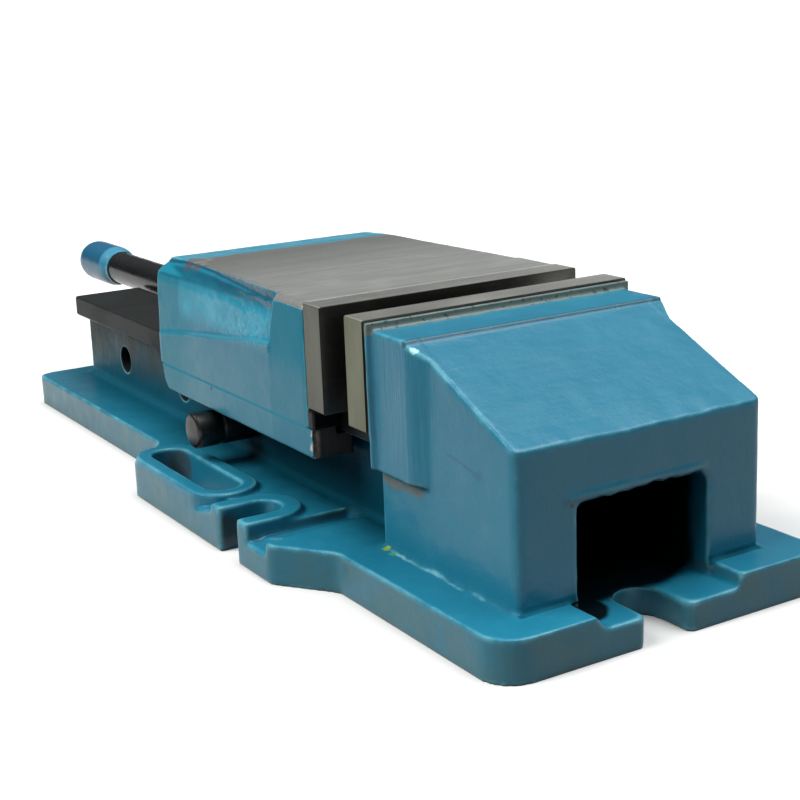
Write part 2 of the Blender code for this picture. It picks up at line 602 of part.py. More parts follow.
collar = turned("booster_collar", [
    (-549.0, 8.6), (-549.0, 11.0), (-556.0, 11.0), (-556.0, 12.0), (-554.2, 13.4), (-550.0, 15.0),
    (-545.0, 15.4), (-507.0, 15.4), (-501.5, 14.4), (-500.0, 13.3), (-496.3, 13.2), (-496.3, 11.8),
    (-543.0, 11.8), (-543.0, 8.6)],
    closed=True)
hang(collar, spindle_axis, PAINT)

hang(turned("retract_ring", [(-224.0, 9.95), (-224.0, 12.3), (-214.0, 12.3), (-214.0, 9.95)],
            closed=True), spindle_axis, STEEL)
hang(turned("piston_key_screw", [(7.4, 2.1), (11.9, 2.1)], "Y", (-424.0, AXIS_Z), 16),
     spindle_axis, BLACK)
hang(turned("oil_fill_screw", [(10.2, 2.4), (12.0, 2.4)], "Y", (-315.0, AXIS_Z), 16),
     spindle_axis, BLACK)
hang(coil("clutch_spring", -542.4, -521.3, 4.0, 10.0, 1.1), spindle_axis, STEEL)
hang(coil("return_spring", -285.8, -262.6, 5.0, 7.2, 1.1), spindle_axis, STEEL)
hang(turned("primary_cylinder", [(-398.0, 6.9), (-398.0, 9.5), (-330.0, 9.5), (-330.0, 4.3),
                                 (-391.0, 4.3), (-391.0, 6.9)], closed=True),
     spindle_axis, STEEL)
hang(turned("primary_seal", [(-397.0, 4.3), (-397.0, 6.6), (-391.4, 6.6), (-391.4, 4.3)],
            closed=True), spindle_axis, SEAL)

# drive shaft: hexagon end, clutch flange and the booster's fine screw
drive = turned("drive_shaft", [(-530.0, 7.4), (-520.5, 7.4), (-520.5, 11.0), (-516.4, 11.0),
                               (-516.4, 6.0), (-446.0, 6.0), (-445.0, 4.8), (-409.0, 4.8)],
               seg=32)
join(drive, turned("hexagon", [(-560.0, 7.2), (-559.0, 8.0), (-527.0, 8.0)], seg=6))
hang(drive, drive_axis, STEEL)

# primary piston: threaded rear half on the screw, plunger in front
plunger = turned("primary_piston", [(-440.0, 5.1), (-440.0, 9.4), (-407.0, 9.4), (-405.5, 4.0),
                                    (-346.0, 4.0), (-345.0, 3.2)], closed=False)
cut(plunger, turned("piston_thread", [(-450.0, 5.1), (-408.0, 5.1)], seg=28),
    block("key_slot", (-436.0, -411.0), (6.9, 12.0), (AXIS_Z - 2.5, AXIS_Z + 2.5)))
hang(plunger, primary_axis, STEEL)

hang(turned("output_piston", [(-300.0, 8.6), (-299.0, 9.5), (-296.3, 9.5), (-296.3, 7.8),
                              (-291.7, 7.8), (-291.7, 9.5), (-288.0, 9.5)]), output_axis, STEEL)
hang(turned("output_seal", [(-296.0, 8.1), (-296.0, 9.55), (-292.0, 9.55), (-292.0, 8.1)],
            closed=True), output_axis, SEAL)
hang(turned("push_rod", [(-287.7, 4.0), (-65.0, 4.0), (-63.0, 2.6)]), output_axis, STEEL)
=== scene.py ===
import math

import bmesh
import bpy
import numpy as np
from mathutils import Matrix, Vector


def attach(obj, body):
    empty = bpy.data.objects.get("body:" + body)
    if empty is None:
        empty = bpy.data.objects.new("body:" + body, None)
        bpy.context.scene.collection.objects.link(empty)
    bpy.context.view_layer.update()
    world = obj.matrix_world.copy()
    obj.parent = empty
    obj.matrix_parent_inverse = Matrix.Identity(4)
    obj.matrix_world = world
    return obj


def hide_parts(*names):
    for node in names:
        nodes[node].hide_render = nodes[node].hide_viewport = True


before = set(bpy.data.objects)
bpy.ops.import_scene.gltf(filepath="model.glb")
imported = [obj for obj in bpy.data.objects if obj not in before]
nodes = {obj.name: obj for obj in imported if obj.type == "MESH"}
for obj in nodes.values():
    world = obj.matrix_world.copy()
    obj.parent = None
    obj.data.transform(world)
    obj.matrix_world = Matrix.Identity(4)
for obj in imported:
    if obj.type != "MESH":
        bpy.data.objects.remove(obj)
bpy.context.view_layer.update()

MM = 0.001
SHIFT = 207.0              # row x = x + SHIFT, with x = 0 on the fixed jaw's face
AXIS_Z = 84.5
scene = bpy.context.scene
collection = scene.collection


# =====================================================================
# camera, light and floor
# =====================================================================
def place_camera():
    az, el, roll = math.radians(59.241), math.radians(13.879), math.radians(-2.367)
    back = Vector((math.sin(az) * math.cos(el), -math.cos(az) * math.cos(el), math.sin(el)))
    right = Vector((math.cos(az), math.sin(az), 0.0))
    up = back.cross(right)
    cx = math.cos(roll) * right + math.sin(roll) * up
    cy = -math.sin(roll) * right + math.cos(roll) * up
    data = bpy.data.cameras.new("camera")
    cam = bpy.data.objects.new("camera", data)
    collection.objects.link(cam)
    m = Matrix((cx, cy, back)).transposed().to_4x4()
    m.translation = Vector((624.75 + SHIFT, -427.55, 283.31)) * MM
    cam.matrix_world = m
    data.sensor_width = 36.0
    data.lens = 1522.404 / 800.0 * 36.0
    data.shift_x = (400.0 - 389.413) / 800.0
    data.shift_y = (372.158 - 400.0) / 800.0
    data.clip_start, data.clip_end = 0.01, 50.0
    scene.camera = cam


def sun(name, toward, facing, colour, spread):
    """Wide soft source; facing is the light that a surface turned to it receives."""
    data = bpy.data.lights.new(name, "SUN")
    data.energy = facing * math.pi
    data.color = colour
    data.angle = math.radians(spread)
    lamp = bpy.data.objects.new(name, data)
    collection.objects.link(lamp)
    lamp.rotation_mode = "QUATERNION"
    lamp.rotation_quaternion = Vector(toward).to_track_quat("Z", "Y")
    return lamp


place_camera()
sun("overhead", (0.14, 0.30, 1.0), 0.98, (0.97, 0.99, 1.0), 50.0)
window = sun("left_window", (-0.16, -0.72, 0.78), 1.10, (1.0, 0.985, 0.94), 36.0)
window.visible_glossy = False       # it lights the sides and leaves no glare on the ground tops
sun("spark", (-0.40, -0.55, 0.73), 0.14, (1.0, 1.0, 1.0), 9.0)

world = bpy.data.worlds.new("studio")
scene.world = world
world.use_nodes = True
wt = world.node_tree
sky = wt.nodes.new("ShaderNodeSeparateXYZ")
wt.links.new(wt.nodes.new("ShaderNodeTexCoord").outputs["Generated"], sky.inputs[0])


def world_ramp(v, a, b, lo, hi):
    n = wt.nodes.new("ShaderNodeMapRange")
    n.interpolation_type = "SMOOTHSTEP"
    wt.links.new(v, n.inputs["Value"])
    for key, value in (("From Min", a), ("From Max", b), ("To Min", lo), ("To Max", hi)):
        n.inputs[key].default_value = value
    return n.outputs[0]


def world_math(op, a, b):
    n = wt.nodes.new("ShaderNodeMath")
    n.operation = op
    for sock, v in zip(n.inputs, (a, b)):
        if isinstance(v, bpy.types.NodeSocket):
            wt.links.new(v, sock)
        else:
            sock.default_value = v
    return n.outputs[0]


up = world_ramp(sky.outputs[2], 0.0, 1.0, 0.04, 0.46)
side = world_math("MULTIPLY", world_ramp(sky.outputs[1], -0.15, -0.9, 0.0, 0.22),
                  world_ramp(sky.outputs[2], 0.05, 0.45, 0.0, 1.0))
ahead = world_math("ADD", world_math("MULTIPLY", sky.outputs[0], -0.859),
                   world_math("MULTIPLY", sky.outputs[1], 0.511))
white = world_math("MULTIPLY", world_ramp(ahead, 0.90, 0.93, 0.0, 1.6),
                   world_math("MULTIPLY", world_ramp(sky.outputs[2], -0.05, -0.03, 0.0, 1.0),
                              world_ramp(sky.outputs[2], 0.05, 0.09, 1.0, 0.0)))
total = world_math("ADD", up, side)
ground = world_ramp(sky.outputs[2], -0.02, -0.01, 0.0, 1.0)
strength = world_math("ADD", world_math("MULTIPLY", total, ground),
                      world_math("MULTIPLY", world_math("SUBTRACT", 1.0, ground), 0.05))
strength = world_math("ADD", strength, white)
wt.nodes["Background"].inputs["Color"].default_value = (0.97, 0.99, 1.0, 1.0)
wt.links.new(strength, wt.nodes["Background"].inputs["Strength"])
scene.view_settings.view_transform = "Standard"
scene.view_settings.look = "None"


# =====================================================================
# small node-tree writer
# =====================================================================
class Tree:
    def __init__(self, name):
        self.mat = bpy.data.materials.new(name)
        self.mat.use_nodes = True
        self.t = self.mat.node_tree
        self.bsdf = self.t.nodes["Principled BSDF"]
        self.coord = None

    def put(self, sock, v):
        if isinstance(v, bpy.types.NodeSocket):
            self.t.links.new(v, sock)
        elif isinstance(v, (tuple, list)) and sock.type == "RGBA" and len(v) == 3:
            sock.default_value = (*v, 1.0)
        else:
            sock.default_value = v

    def new(self, kind, **props):
        n = self.t.nodes.new(kind)
        for k, v in props.items():
            setattr(n, k, v)
        return n

    def pos(self):
        if self.coord is None:
            self.coord = self.new("ShaderNodeTexCoord").outputs["Object"]
        return self.coord

    def xyz(self):
        if not hasattr(self, "_xyz"):
            n = self.new("ShaderNodeSeparateXYZ")
            self.put(n.inputs[0], self.pos())
            self._xyz = n.outputs
        return self._xyz

    def m(self, op, a, b=None, c=None, clamp=False):
        n = self.new("ShaderNodeMath", operation=op, use_clamp=clamp)
        self.put(n.inputs[0], a)
        if b is not None:
            self.put(n.inputs[1], b)
        if c is not None:
            self.put(n.inputs[2], c)
        return n.outputs[0]

    def ramp(self, v, a, b, lo=0.0, hi=1.0, smooth=True):
        n = self.new("ShaderNodeMapRange", interpolation_type="SMOOTHSTEP" if smooth else "LINEAR",
                     clamp=True)
        self.put(n.inputs["Value"], v)
        n.inputs["From Min"].default_value = a
        n.inputs["From Max"].default_value = b
        n.inputs["To Min"].default_value = lo
        n.inputs["To Max"].default_value = hi
        return n.outputs[0]

    def scaled(self, sx, sy, sz, rot=(0.0, 0.0, 0.0)):
        n = self.new("ShaderNodeMapping")
        self.put(n.inputs[0], self.pos())
        n.inputs["Scale"].default_value = (sx, sy, sz)
        n.inputs["Rotation"].default_value = rot
        return n.outputs[0]

    def noise(self, scale, detail=3.0, rough=0.5, vec=None, dist=0.0):
        n = self.new("ShaderNodeTexNoise")
        self.put(n.inputs["Vector"], vec if vec is not None else self.pos())
        n.inputs["Scale"].default_value = scale
        n.inputs["Detail"].default_value = detail
        n.inputs["Roughness"].default_value = rough
        n.inputs["Distortion"].default_value = dist
        return n.outputs[0]

    def voronoi(self, scale, feature="F1", vec=None, rand=1.0):
        n = self.new("ShaderNodeTexVoronoi", feature=feature)
        self.put(n.inputs["Vector"], vec if vec is not None else self.pos())
        n.inputs["Scale"].default_value = scale
        n.inputs["Randomness"].default_value = rand
        return n.outputs["Distance"]

    def mix(self, f, a, b, mode="MIX"):
        n = self.new("ShaderNodeMix", data_type="RGBA", blend_type=mode)
        self.put(n.inputs["Factor"], f)
        self.put(n.inputs["A"] if False else n.inputs[6], a)
        self.put(n.inputs[7], b)
        return n.outputs[2]

    def lerp(self, f, a, b):
        n = self.new("ShaderNodeMix", data_type="FLOAT")
        self.put(n.inputs[0], f)
        self.put(n.inputs[2], a)
        self.put(n.inputs[3], b)
        return n.outputs[0]

    def attr(self, name):
        return self.new("ShaderNodeAttribute", attribute_name=name).outputs["Fac"]

    def normal(self):
        if not hasattr(self, "_nrm"):
            n = self.new("ShaderNodeSeparateXYZ")
            g = self.new("ShaderNodeTexCoord")
            self.put(n.inputs[0], g.outputs["Normal"])
            self._nrm = n.outputs
        return self._nrm

    def bump(self, height, strength, distance, before=None):
        n = self.new("ShaderNodeBump")
        n.inputs["Strength"].default_value = strength
        n.inputs["Distance"].default_value = distance
        self.put(n.inputs["Height"], height)
        if before is not None:
            self.put(n.inputs["Normal"], before)
        return n.outputs[0]

    def set(self, **values):
        names = {"base": "Base Color", "rough": "Roughness", "metal": "Metallic",
                 "normal": "Normal", "coat": "Coat Weight", "coat_rough": "Coat Roughness",
                 "coat_normal": "Coat Normal", "spec": "Specular IOR Level", "ior": "IOR",
                 "aniso": "Anisotropic"}
        for k, v in values.items():
            self.put(self.bsdf.inputs[names[k]], v)
        return self.mat


def band(t, v, a, b, soft=0.0004):
    """1 where a < v < b, in metres."""
    up = t.ramp(v, a - soft, a + soft)
    down = t.ramp(v, b - soft, b + soft, 1.0, 0.0)
    return t.m("MULTIPLY", up, down)


def fx(x):
    """Fit millimetres to row metres along x."""
    return (x + SHIFT) * MM


# =====================================================================
# materials
# =====================================================================
STEEL_GREY = (0.42, 0.415, 0.39)


def steel_parts(t, along="x", tone=STEEL_GREY, rough=0.33, fine=1.0):
    """Ground steel: fine grinding lines along one axis, faint stains. Returns colour, roughness, height."""
    long, across = 14.0, 1500.0 * fine
    s = {"x": (long, across, across), "y": (across, long, across), "z": (across, across, long)}[along]
    lines = t.noise(1.0, 3.0, 0.65, t.scaled(*s))
    s2 = tuple(v * 0.23 for v in s)
    broad = t.noise(1.0, 2.0, 0.5, t.scaled(*s2))
    stain = t.noise(26.0, 4.0, 0.6)
    grey = t.ramp(lines, 0.25, 0.75, 0.86, 1.08, False)
    grey = t.m("MULTIPLY", grey, t.ramp(broad, 0.3, 0.7, 0.93, 1.05, False))
    grey = t.m("MULTIPLY", grey, t.ramp(stain, 0.35, 0.75, 1.04, 0.86))
    n = t.new("ShaderNodeVectorMath", operation="SCALE")
    n.inputs[0].default_value = tone
    t.put(n.inputs["Scale"], grey)
    colour = n.outputs[0]
    r = t.ramp(lines, 0.2, 0.8, rough - 0.05, rough + 0.07, False)
    r = t.m("ADD", r, t.ramp(stain, 0.45, 0.8, 0.0, 0.10))
    return colour, r, lines


PAINT_MAIN = (0.008, 0.124, 0.202)
PAINT_LIGHT = (0.028, 0.185, 0.262)
HOLLOW_SHADE = (0.004, 0.070, 0.125)
EDGE_HIGHLIGHT = (0.110, 0.350, 0.430)


def enamel(name, bare=None, bare_along="x", bare_tone=STEEL_GREY, bare_rough=0.33, spots=(),
           streaks=None, shades=(), covers=(), texture=None, hollow=0.70, bare_rear_shade=None,
           dull=None, bare_metal=1.0, stains=()):
    """Thick glossy enamel over cast iron, with bare ground areas given by a mask."""
    t = Tree(name)
    edge = t.attr("edge")
    cloud = t.noise(9.0, 3.0, 0.55)
    mottled = t.noise(70.0, 4.0, 0.6)
    colour = t.mix(t.ramp(cloud, 0.35, 0.68), PAINT_MAIN, (0.010, 0.137, 0.217))
    colour = t.mix(t.ramp(mottled, 0.48, 0.82, 0.0, 0.22), colour, PAINT_LIGHT)
    for shade in shades:
        amount, tint = shade(t)
        colour = t.mix(amount, colour, tint)
    # painted highlight: outer edges are lightened in patches
    edge_highlight = t.m("MULTIPLY", t.ramp(edge, 0.08, 0.42, 0.0, 0.56), t.ramp(t.noise(48.0, 4.0, 0.6), 0.36, 0.62, 0.15, 1.0))
    colour = t.mix(edge_highlight, colour, EDGE_HIGHLIGHT)
    # painted shade: hollows are darkened
    colour = t.mix(t.ramp(edge, -0.10, -0.50, 0.0, hollow), colour, HOLLOW_SHADE)
    for cover in covers:
        amount, tint = cover(t)
        colour = t.mix(amount, colour, tint)
    # orange peel, slow undulation of the casting and a little sand texture
    peel = t.noise(420.0, 2.0, 0.45)
    slow = t.noise(55.0, 3.0, 0.55, dist=0.4)
    sand = t.noise(900.0, 3.0, 0.6)
    h = t.m("ADD", t.m("MULTIPLY", peel, 0.30), t.m("MULTIPLY", slow, 0.8))
    h = t.m("ADD", h, t.m("MULTIPLY", sand, 0.10))
    rough = t.ramp(mottled, 0.3, 0.75, 0.30, 0.44, False)
    if texture is not None:
        amount, height = texture(t)
        h = t.m("ADD", h, t.m("MULTIPLY", amount, height))
    if streaks is not None:
        amount, height = streaks(t)
        h = t.m("ADD", h, t.m("MULTIPLY", amount, height))
    # little runs, nibs and dust under the enamel
    nib = t.voronoi(190.0)
    h = t.m("ADD", h, t.ramp(nib, 0.0, 0.16, 0.18, 0.0))
    for sx, sy, sz, sr, tint in spots:
        d = t.new("ShaderNodeVectorMath", operation="DISTANCE")
        t.put(d.inputs[0], t.pos())
        d.inputs[1].default_value = (fx(sx), sy * MM, sz * MM)
        wob = t.m("ADD", d.outputs["Value"], t.m("MULTIPLY", t.m("SUBTRACT", t.noise(500.0, 2.0), 0.5),
                                                 sr * MM * 0.9))
        colour = t.mix(t.ramp(wob, sr * MM * 0.65, sr * MM * 1.05, 1.0, 0.0), colour, tint)
    normal = t.bump(h, 0.55, 0.00055)
    coat = 0.10
    metal = 0.0
    if bare is not None:
        mask = bare(t)
        c2, r2, lines = steel_parts(t, bare_along, bare_tone, bare_rough)
        # painted shade: the bare metal darkens towards the rear
        if bare_rear_shade is not None:
            n = t.new("ShaderNodeVectorMath", operation="SCALE")
            t.put(n.inputs[0], c2)
            t.put(n.inputs["Scale"], t.ramp(t.xyz()[0], fx(bare_rear_shade[0]), fx(bare_rear_shade[1]), bare_rear_shade[2], 1.0))
            c2 = n.outputs[0]
        colour = t.mix(mask, colour, c2)
        rough = t.lerp(mask, rough, r2)
        metal = mask if bare_metal == 1.0 else t.m("MULTIPLY", mask, bare_metal)
        for sx, sy, sz, sr, tint in stains:
            d = t.new("ShaderNodeVectorMath", operation="DISTANCE")
            t.put(d.inputs[0], t.pos())
            d.inputs[1].default_value = (fx(sx), sy * MM, sz * MM)
            wob = t.m("ADD", d.outputs["Value"], t.m("MULTIPLY", t.m("SUBTRACT", t.noise(160.0, 3.0), 0.5), sr * MM))
            amount = t.ramp(wob, sr * MM * 0.45, sr * MM * 1.05, 0.85, 0.0)
            colour = t.mix(amount, colour, tint)
            metal = t.m("MULTIPLY", metal, t.m("SUBTRACT", 1.0, amount))
        coat = t.m("MULTIPLY", t.m("SUBTRACT", 1.0, mask), 0.10)
        h2 = t.lerp(mask, h, t.m("MULTIPLY", lines, 0.10))
        normal = t.bump(h2, 0.55, 0.00055)
    shine = 0.30
    if dull is not None:
        matt = dull(t)
        shine = t.m("MULTIPLY", t.m("SUBTRACT", 1.0, matt), 0.30)
        coat = t.m("MULTIPLY", t.m("SUBTRACT", 1.0, matt), coat)
    return t.set(base=colour, rough=rough, metal=metal, coat=coat, coat_rough=0.10, spec=shine, normal=normal)


def bed_bare(t):
    """Ground rail heads and the machined seat behind the fixed plate."""
    x, y, z = t.xyz()
    ay = t.m("ABSOLUTE", y)
    wob = t.m("MULTIPLY", t.m("SUBTRACT", t.noise(110.0, 3.0), 0.5), 0.0022)
    zz = t.m("ADD", z, wob)
    yy = t.m("ADD", ay, wob)
    rail = t.m("MULTIPLY", band(t, zz, 0.0668, 0.0825, 0.0003), t.ramp(x, fx(14.4), fx(15.0), 1.0, 0.0))
    rail = t.m("MULTIPLY", rail, t.ramp(yy, 0.0645, 0.0650, 1.0, 0.0))
    xw = t.m("ADD", x, t.m("MULTIPLY", wob, 0.55))
    seat = t.m("MULTIPLY", band(t, xw, fx(13.8), fx(18.6), 0.00015), band(t, z, 0.0798, 0.1288, 0.0003))
    bottom = t.ramp(z, 0.0002, 0.0006, 1.0, 0.0)
    bore = band(t, ay, 0.0370, 0.0535, 0.0002)
    holes = 0.0
    for px in (-366.0, -266.0, -166.0):
        dx = t.m("SUBTRACT", x, fx(px))
        dz = t.m("SUBTRACT", z, 0.0425)
        d = t.m("SQRT", t.m("ADD", t.m("MULTIPLY", dx, dx), t.m("MULTIPLY", dz, dz)))
        inside = t.ramp(d, 0.0091, 0.0094, 1.0, 0.0)
        holes = inside if isinstance(holes, float) else t.m("MAXIMUM", holes, inside)
    holes = t.m("MULTIPLY", holes, bore)
    return t.m("MAXIMUM", t.m("MAXIMUM", rail, seat), t.m("MAXIMUM", bottom, holes))


def bed_streaks(t):
    """Brushed-on upright streaks down the side of the fixed head."""
    x, y, z = t.xyz()
    where = t.m("MULTIPLY", band(t, x, fx(19.0), fx(64.0), 0.003), t.ramp(t.m("ABSOLUTE", y), 0.066, 0.070))
    where = t.m("MULTIPLY", where, t.ramp(z, 0.058, 0.064))
    lines = t.noise(1.0, 3.0, 0.6, t.scaled(330.0, 330.0, 24.0))
    return where, t.m("MULTIPLY", lines, 1.6)


def bed_texture(t):
    """Coarser brush marks on the head's top and the slope."""
    x, y, z = t.xyz()
    where = t.ramp(z, 0.088, 0.100)
    marks = t.noise(1.0, 3.0, 0.6, t.scaled(160.0, 40.0, 160.0))
    return where, t.m("MULTIPLY", marks, 0.9)


def bed_primer(t):
    """Thin enamel on the underside of the head, where the primer shows."""
    x, y, z = t.xyz()
    wob = t.m("MULTIPLY", t.m("SUBTRACT", t.noise(90.0, 3.0), 0.5), 0.010)
    zz = t.m("ADD", z, wob)
    where = t.m("MULTIPLY", band(t, zz, 0.0545, 0.0613, 0.0012), band(t, x, fx(14.5), fx(52.0), 0.003))
    where = t.m("MULTIPLY", where, t.ramp(t.m("ABSOLUTE", y), 0.069, 0.071, 0.0, 0.75))
    return where, (0.100, 0.112, 0.092)


def bed_rear_shade(t):
    """Painted shade: the enamel is duller and darker towards the rear end."""
    x, y, z = t.xyz()
    return t.ramp(x, fx(-150.0), fx(-420.0), 0.0, 0.50), (0.004, 0.072, 0.110)


def bed_walls_shade(t):
    """Painted shade: the walls under the rails and the flange along their feet are darkened."""
    x, y, z = t.xyz()
    ay = t.m("ABSOLUTE", y)
    wob = t.m("MULTIPLY", t.m("SUBTRACT", t.noise(38.0, 3.0), 0.5), 0.012)
    inner = t.ramp(t.m("ADD", ay, wob), 0.054, 0.086, 0.88, 0.0)
    where = t.m("MULTIPLY", inner, t.ramp(x, fx(6.0), fx(16.0), 1.0, 0.0))
    where = t.m("MULTIPLY", where, t.ramp(z, 0.064, 0.067, 1.0, 0.0))
    return t.m("MULTIPLY", where, t.ramp(x, fx(-290.0), fx(-225.0), 0.55, 1.0)), (0.001, 0.022, 0.036)


def bed_matt(t):
    """No gloss on the shaded walls under the rails and in the tunnel."""
    x, y, z = t.xyz()
    ay = t.m("ABSOLUTE", y)
    where = t.m("MULTIPLY", t.ramp(ay, 0.056, 0.082, 0.85, 0.0), t.ramp(x, fx(6.0), fx(16.0), 1.0, 0.0))
    where = t.m("MULTIPLY", where, t.ramp(z, 0.064, 0.067, 1.0, 0.0))
    tunnel = t.m("MULTIPLY", t.ramp(ay, 0.0382, 0.0386, 1.0, 0.0), band(t, z, 0.0135, 0.0665, 0.0003))
    tunnel = t.m("MULTIPLY", tunnel, t.ramp(x, fx(118.0), fx(126.0), 0.95, 0.0))
    foot = t.m("MULTIPLY", band(t, x, fx(125.0), fx(127.8), 0.0005), band(t, z, 0.0195, 0.0245, 0.0005))
    foot = t.m("MULTIPLY", foot, t.ramp(ay, 0.070, 0.073, 0.95, 0.0))
    rails = t.m("MULTIPLY", band(t, z, 0.0655, 0.0830, 0.0003), t.ramp(x, fx(14.0), fx(16.0), 0.75, 0.0))
    rails = t.m("MULTIPLY", rails, t.ramp(ay, 0.0645, 0.0650, 1.0, 0.0))
    return t.m("MAXIMUM", t.m("MAXIMUM", where, tunnel), t.m("MAXIMUM", foot, rails))


def bed_wall_rear_shade(t):
    x, y, z = t.xyz()
    # painted shade: the rear of the walls, low down, is darkened to a grey-brown
    where = t.m("MULTIPLY", t.ramp(t.m("ABSOLUTE", y), 0.054, 0.056, 1.0, 0.0), t.ramp(z, 0.024, 0.048))
    where = t.m("MULTIPLY", where, t.ramp(x, fx(-290.0), fx(-250.0), 1.0, 0.0))
    return t.m("MULTIPLY", where, t.ramp(t.noise(30.0, 3.0), 0.3, 0.6, 0.55, 0.95)), (0.012, 0.021, 0.019)


def bed_feet_shade(t):
    """Painted shade: a dark line where the walls and the head meet the flange."""
    x, y, z = t.xyz()
    ay = t.m("ABSOLUTE", y)
    low = t.ramp(z, 0.0225, 0.0245, 1.0, 0.0)
    end = t.m("MULTIPLY", band(t, x, fx(125.0), fx(127.6), 0.0005), t.ramp(ay, 0.070, 0.072, 1.0, 0.0))
    side = t.m("MULTIPLY", band(t, ay, 0.0563, 0.0590, 0.0005), band(t, x, fx(-120.0), fx(6.0), 0.01))
    where = t.m("MULTIPLY", t.m("MAXIMUM", end, side), low)
    where = t.m("MULTIPLY", where, t.ramp(z, 0.019, 0.0195))
    return t.m("MULTIPLY", where, t.ramp(t.noise(60.0, 3.0), 0.35, 0.6, 0.35, 0.85)), (0.002, 0.028, 0.040)


def bed_tunnel_bare_and_shade(t):
    """Only the mouth of the tunnel is painted; behind it the near-black stands for the unpainted casting together with
    painted shade, and a dark blob of painted shade sits at the mouth's lower near corner.
    """
    x, y, z = t.xyz()
    ay = t.m("ABSOLUTE", y)
    wob = t.m("MULTIPLY", t.m("SUBTRACT", t.noise(70.0, 3.0), 0.5), 0.010)
    limit = t.m("ADD", t.m("ADD", x, wob), t.ramp(y, 0.020, 0.036, 0.0, 0.006))
    deep = t.ramp(limit, fx(116.0), fx(125.0), 1.0, 0.0)
    where = t.m("MULTIPLY", deep, t.m("MULTIPLY", t.ramp(ay, 0.0382, 0.0386, 1.0, 0.0),
                                      band(t, z, 0.0135, 0.0665, 0.0003)))
    d = t.new("ShaderNodeVectorMath", operation="DISTANCE")
    t.put(d.inputs[0], t.pos())
    d.inputs[1].default_value = (fx(122.0), -0.0370, 0.0150)
    blob = t.ramp(t.m("ADD", d.outputs["Value"], t.m("MULTIPLY", wob, 0.35)), 0.0135, 0.0165, 1.0, 0.0)
    blob = t.m("MULTIPLY", blob, t.m("MAXIMUM", t.ramp(y, -0.0386, -0.0381), t.ramp(z, 0.0204, 0.0208, 1.0, 0.0)))
    return t.m("MULTIPLY", t.m("MAXIMUM", where, blob), 0.98), (0.0006, 0.0012, 0.0022)


def bed_lip(t):
    """Grey-green primer and grease along the lip behind the fixed plate."""
    x, y, z = t.xyz()
    wob = t.m("MULTIPLY", t.m("SUBTRACT", t.noise(160.0, 4.0, 0.6), 0.5), 0.0045)
    where = t.m("MULTIPLY", t.ramp(t.m("ADD", x, wob), fx(22.0), fx(22.6), 1.0, 0.0), t.ramp(z, 0.1285, 0.1292))
    tone = t.mix(t.ramp(t.noise(300.0, 3.0, 0.6), 0.56, 0.66), (0.115, 0.150, 0.135), (0.030, 0.045, 0.042))
    return t.m("MULTIPLY", where, 0.92), tone


def bed_foot_highlight(t):
    """Painted highlight: a broken light line along the foot of the head."""
    x, y, z = t.xyz()
    ay = t.m("ABSOLUTE", y)
    wob = t.m("MULTIPLY", t.m("SUBTRACT", t.noise(70.0, 3.0), 0.5), 0.004)
    line = t.m("MULTIPLY", band(t, t.m("ADD", ay, wob), 0.0722, 0.0736, 0.0004), t.ramp(z, 0.0220, 0.0235, 1.0, 0.0))
    line = t.m("MULTIPLY", line, band(t, x, fx(24.0), fx(124.0), 0.008))
    line = t.m("MULTIPLY", line, t.ramp(z, 0.0195, 0.0200))
    return t.m("MULTIPLY", line, t.ramp(t.noise(42.0, 3.0), 0.42, 0.62, 0.0, 0.75)), (0.170, 0.430, 0.500)


def bed_crease_shade(t):
    x, y, z = t.xyz()
    # painted shade: a dark line on the small step where the head's top meets the slope
    return t.m("MULTIPLY", band(t, x, fx(47.0), fx(49.3), 0.0004), t.ramp(z, 0.1270, 0.1280, 0.0, 0.75)), \
        (0.003, 0.060, 0.095)


def bed_edges_grey(t):
    """The upright sides of the flange are greyer, in patches."""
    x, y, z = t.xyz()
    n = t.normal()
    upright = t.ramp(t.m("ABSOLUTE", n[2]), 0.25, 0.6, 1.0, 0.0)
    low = t.m("MULTIPLY", upright, t.ramp(z, 0.0195, 0.0215, 1.0, 0.0))
    slots = t.m("MULTIPLY", band(t, x, fx(-212.0), fx(-60.0), 0.001), t.ramp(t.m("ABSOLUTE", y), 0.1150, 0.1160, 1.0, 0.0))
    low = t.m("MULTIPLY", low, t.m("SUBTRACT", 1.0, slots))
    return t.m("MULTIPLY", low, t.ramp(t.noise(45.0, 4.0), 0.35, 0.65, 0.25, 0.65)), (0.040, 0.115, 0.125)


def bed_scuff(t):
    x, y, z = t.xyz()
    wob = t.m("MULTIPLY", t.m("SUBTRACT", t.noise(120.0, 4.0, 0.6), 0.5), 0.014)
    line = band(t, t.m("ADD", t.m("ADD", z, wob), t.m("MULTIPLY", t.m("SUBTRACT", x, fx(76.0)), 0.14)),
                0.0800, 0.0826, 0.0007)
    where = t.m("MULTIPLY", line, band(t, x, fx(74.0), fx(101.0), 0.004))
    where = t.m("MULTIPLY", where, t.ramp(y, -0.0705, -0.0700, 1.0, 0.0))
    return t.m("MULTIPLY", where, 0.55), (0.004, 0.075, 0.130)


def slot_grime(t):
    """Brown casting skin left bare inside the clamp slots."""
    d = t.new("ShaderNodeVectorMath", operation="DISTANCE")
    t.put(d.inputs[0], t.pos())
    d.inputs[1].default_value = (fx(-193.0), -0.0885, 0.0150)
    e = t.new("ShaderNodeVectorMath", operation="DISTANCE")
    t.put(e.inputs[0], t.pos())
    e.inputs[1].default_value = (fx(-77.5), -0.1130, 0.0110)
    x, y, z = t.xyz()
    near = t.m("MAXIMUM", t.ramp(d.outputs["Value"], 0.006, 0.014, 1.0, 0.0),
               t.ramp(e.outputs["Value"], 0.006, 0.012, 1.0, 0.0))
    inner = t.ramp(t.m("ABSOLUTE", t.normal()[2]), 0.3, 0.6, 1.0, 0.0)
    in_slot = t.ramp(y, -0.1165, -0.1160)
    return t.m("MULTIPLY", t.m("MULTIPLY", near, inner), t.m("MULTIPLY", in_slot, 0.70)), (0.040, 0.031, 0.027)


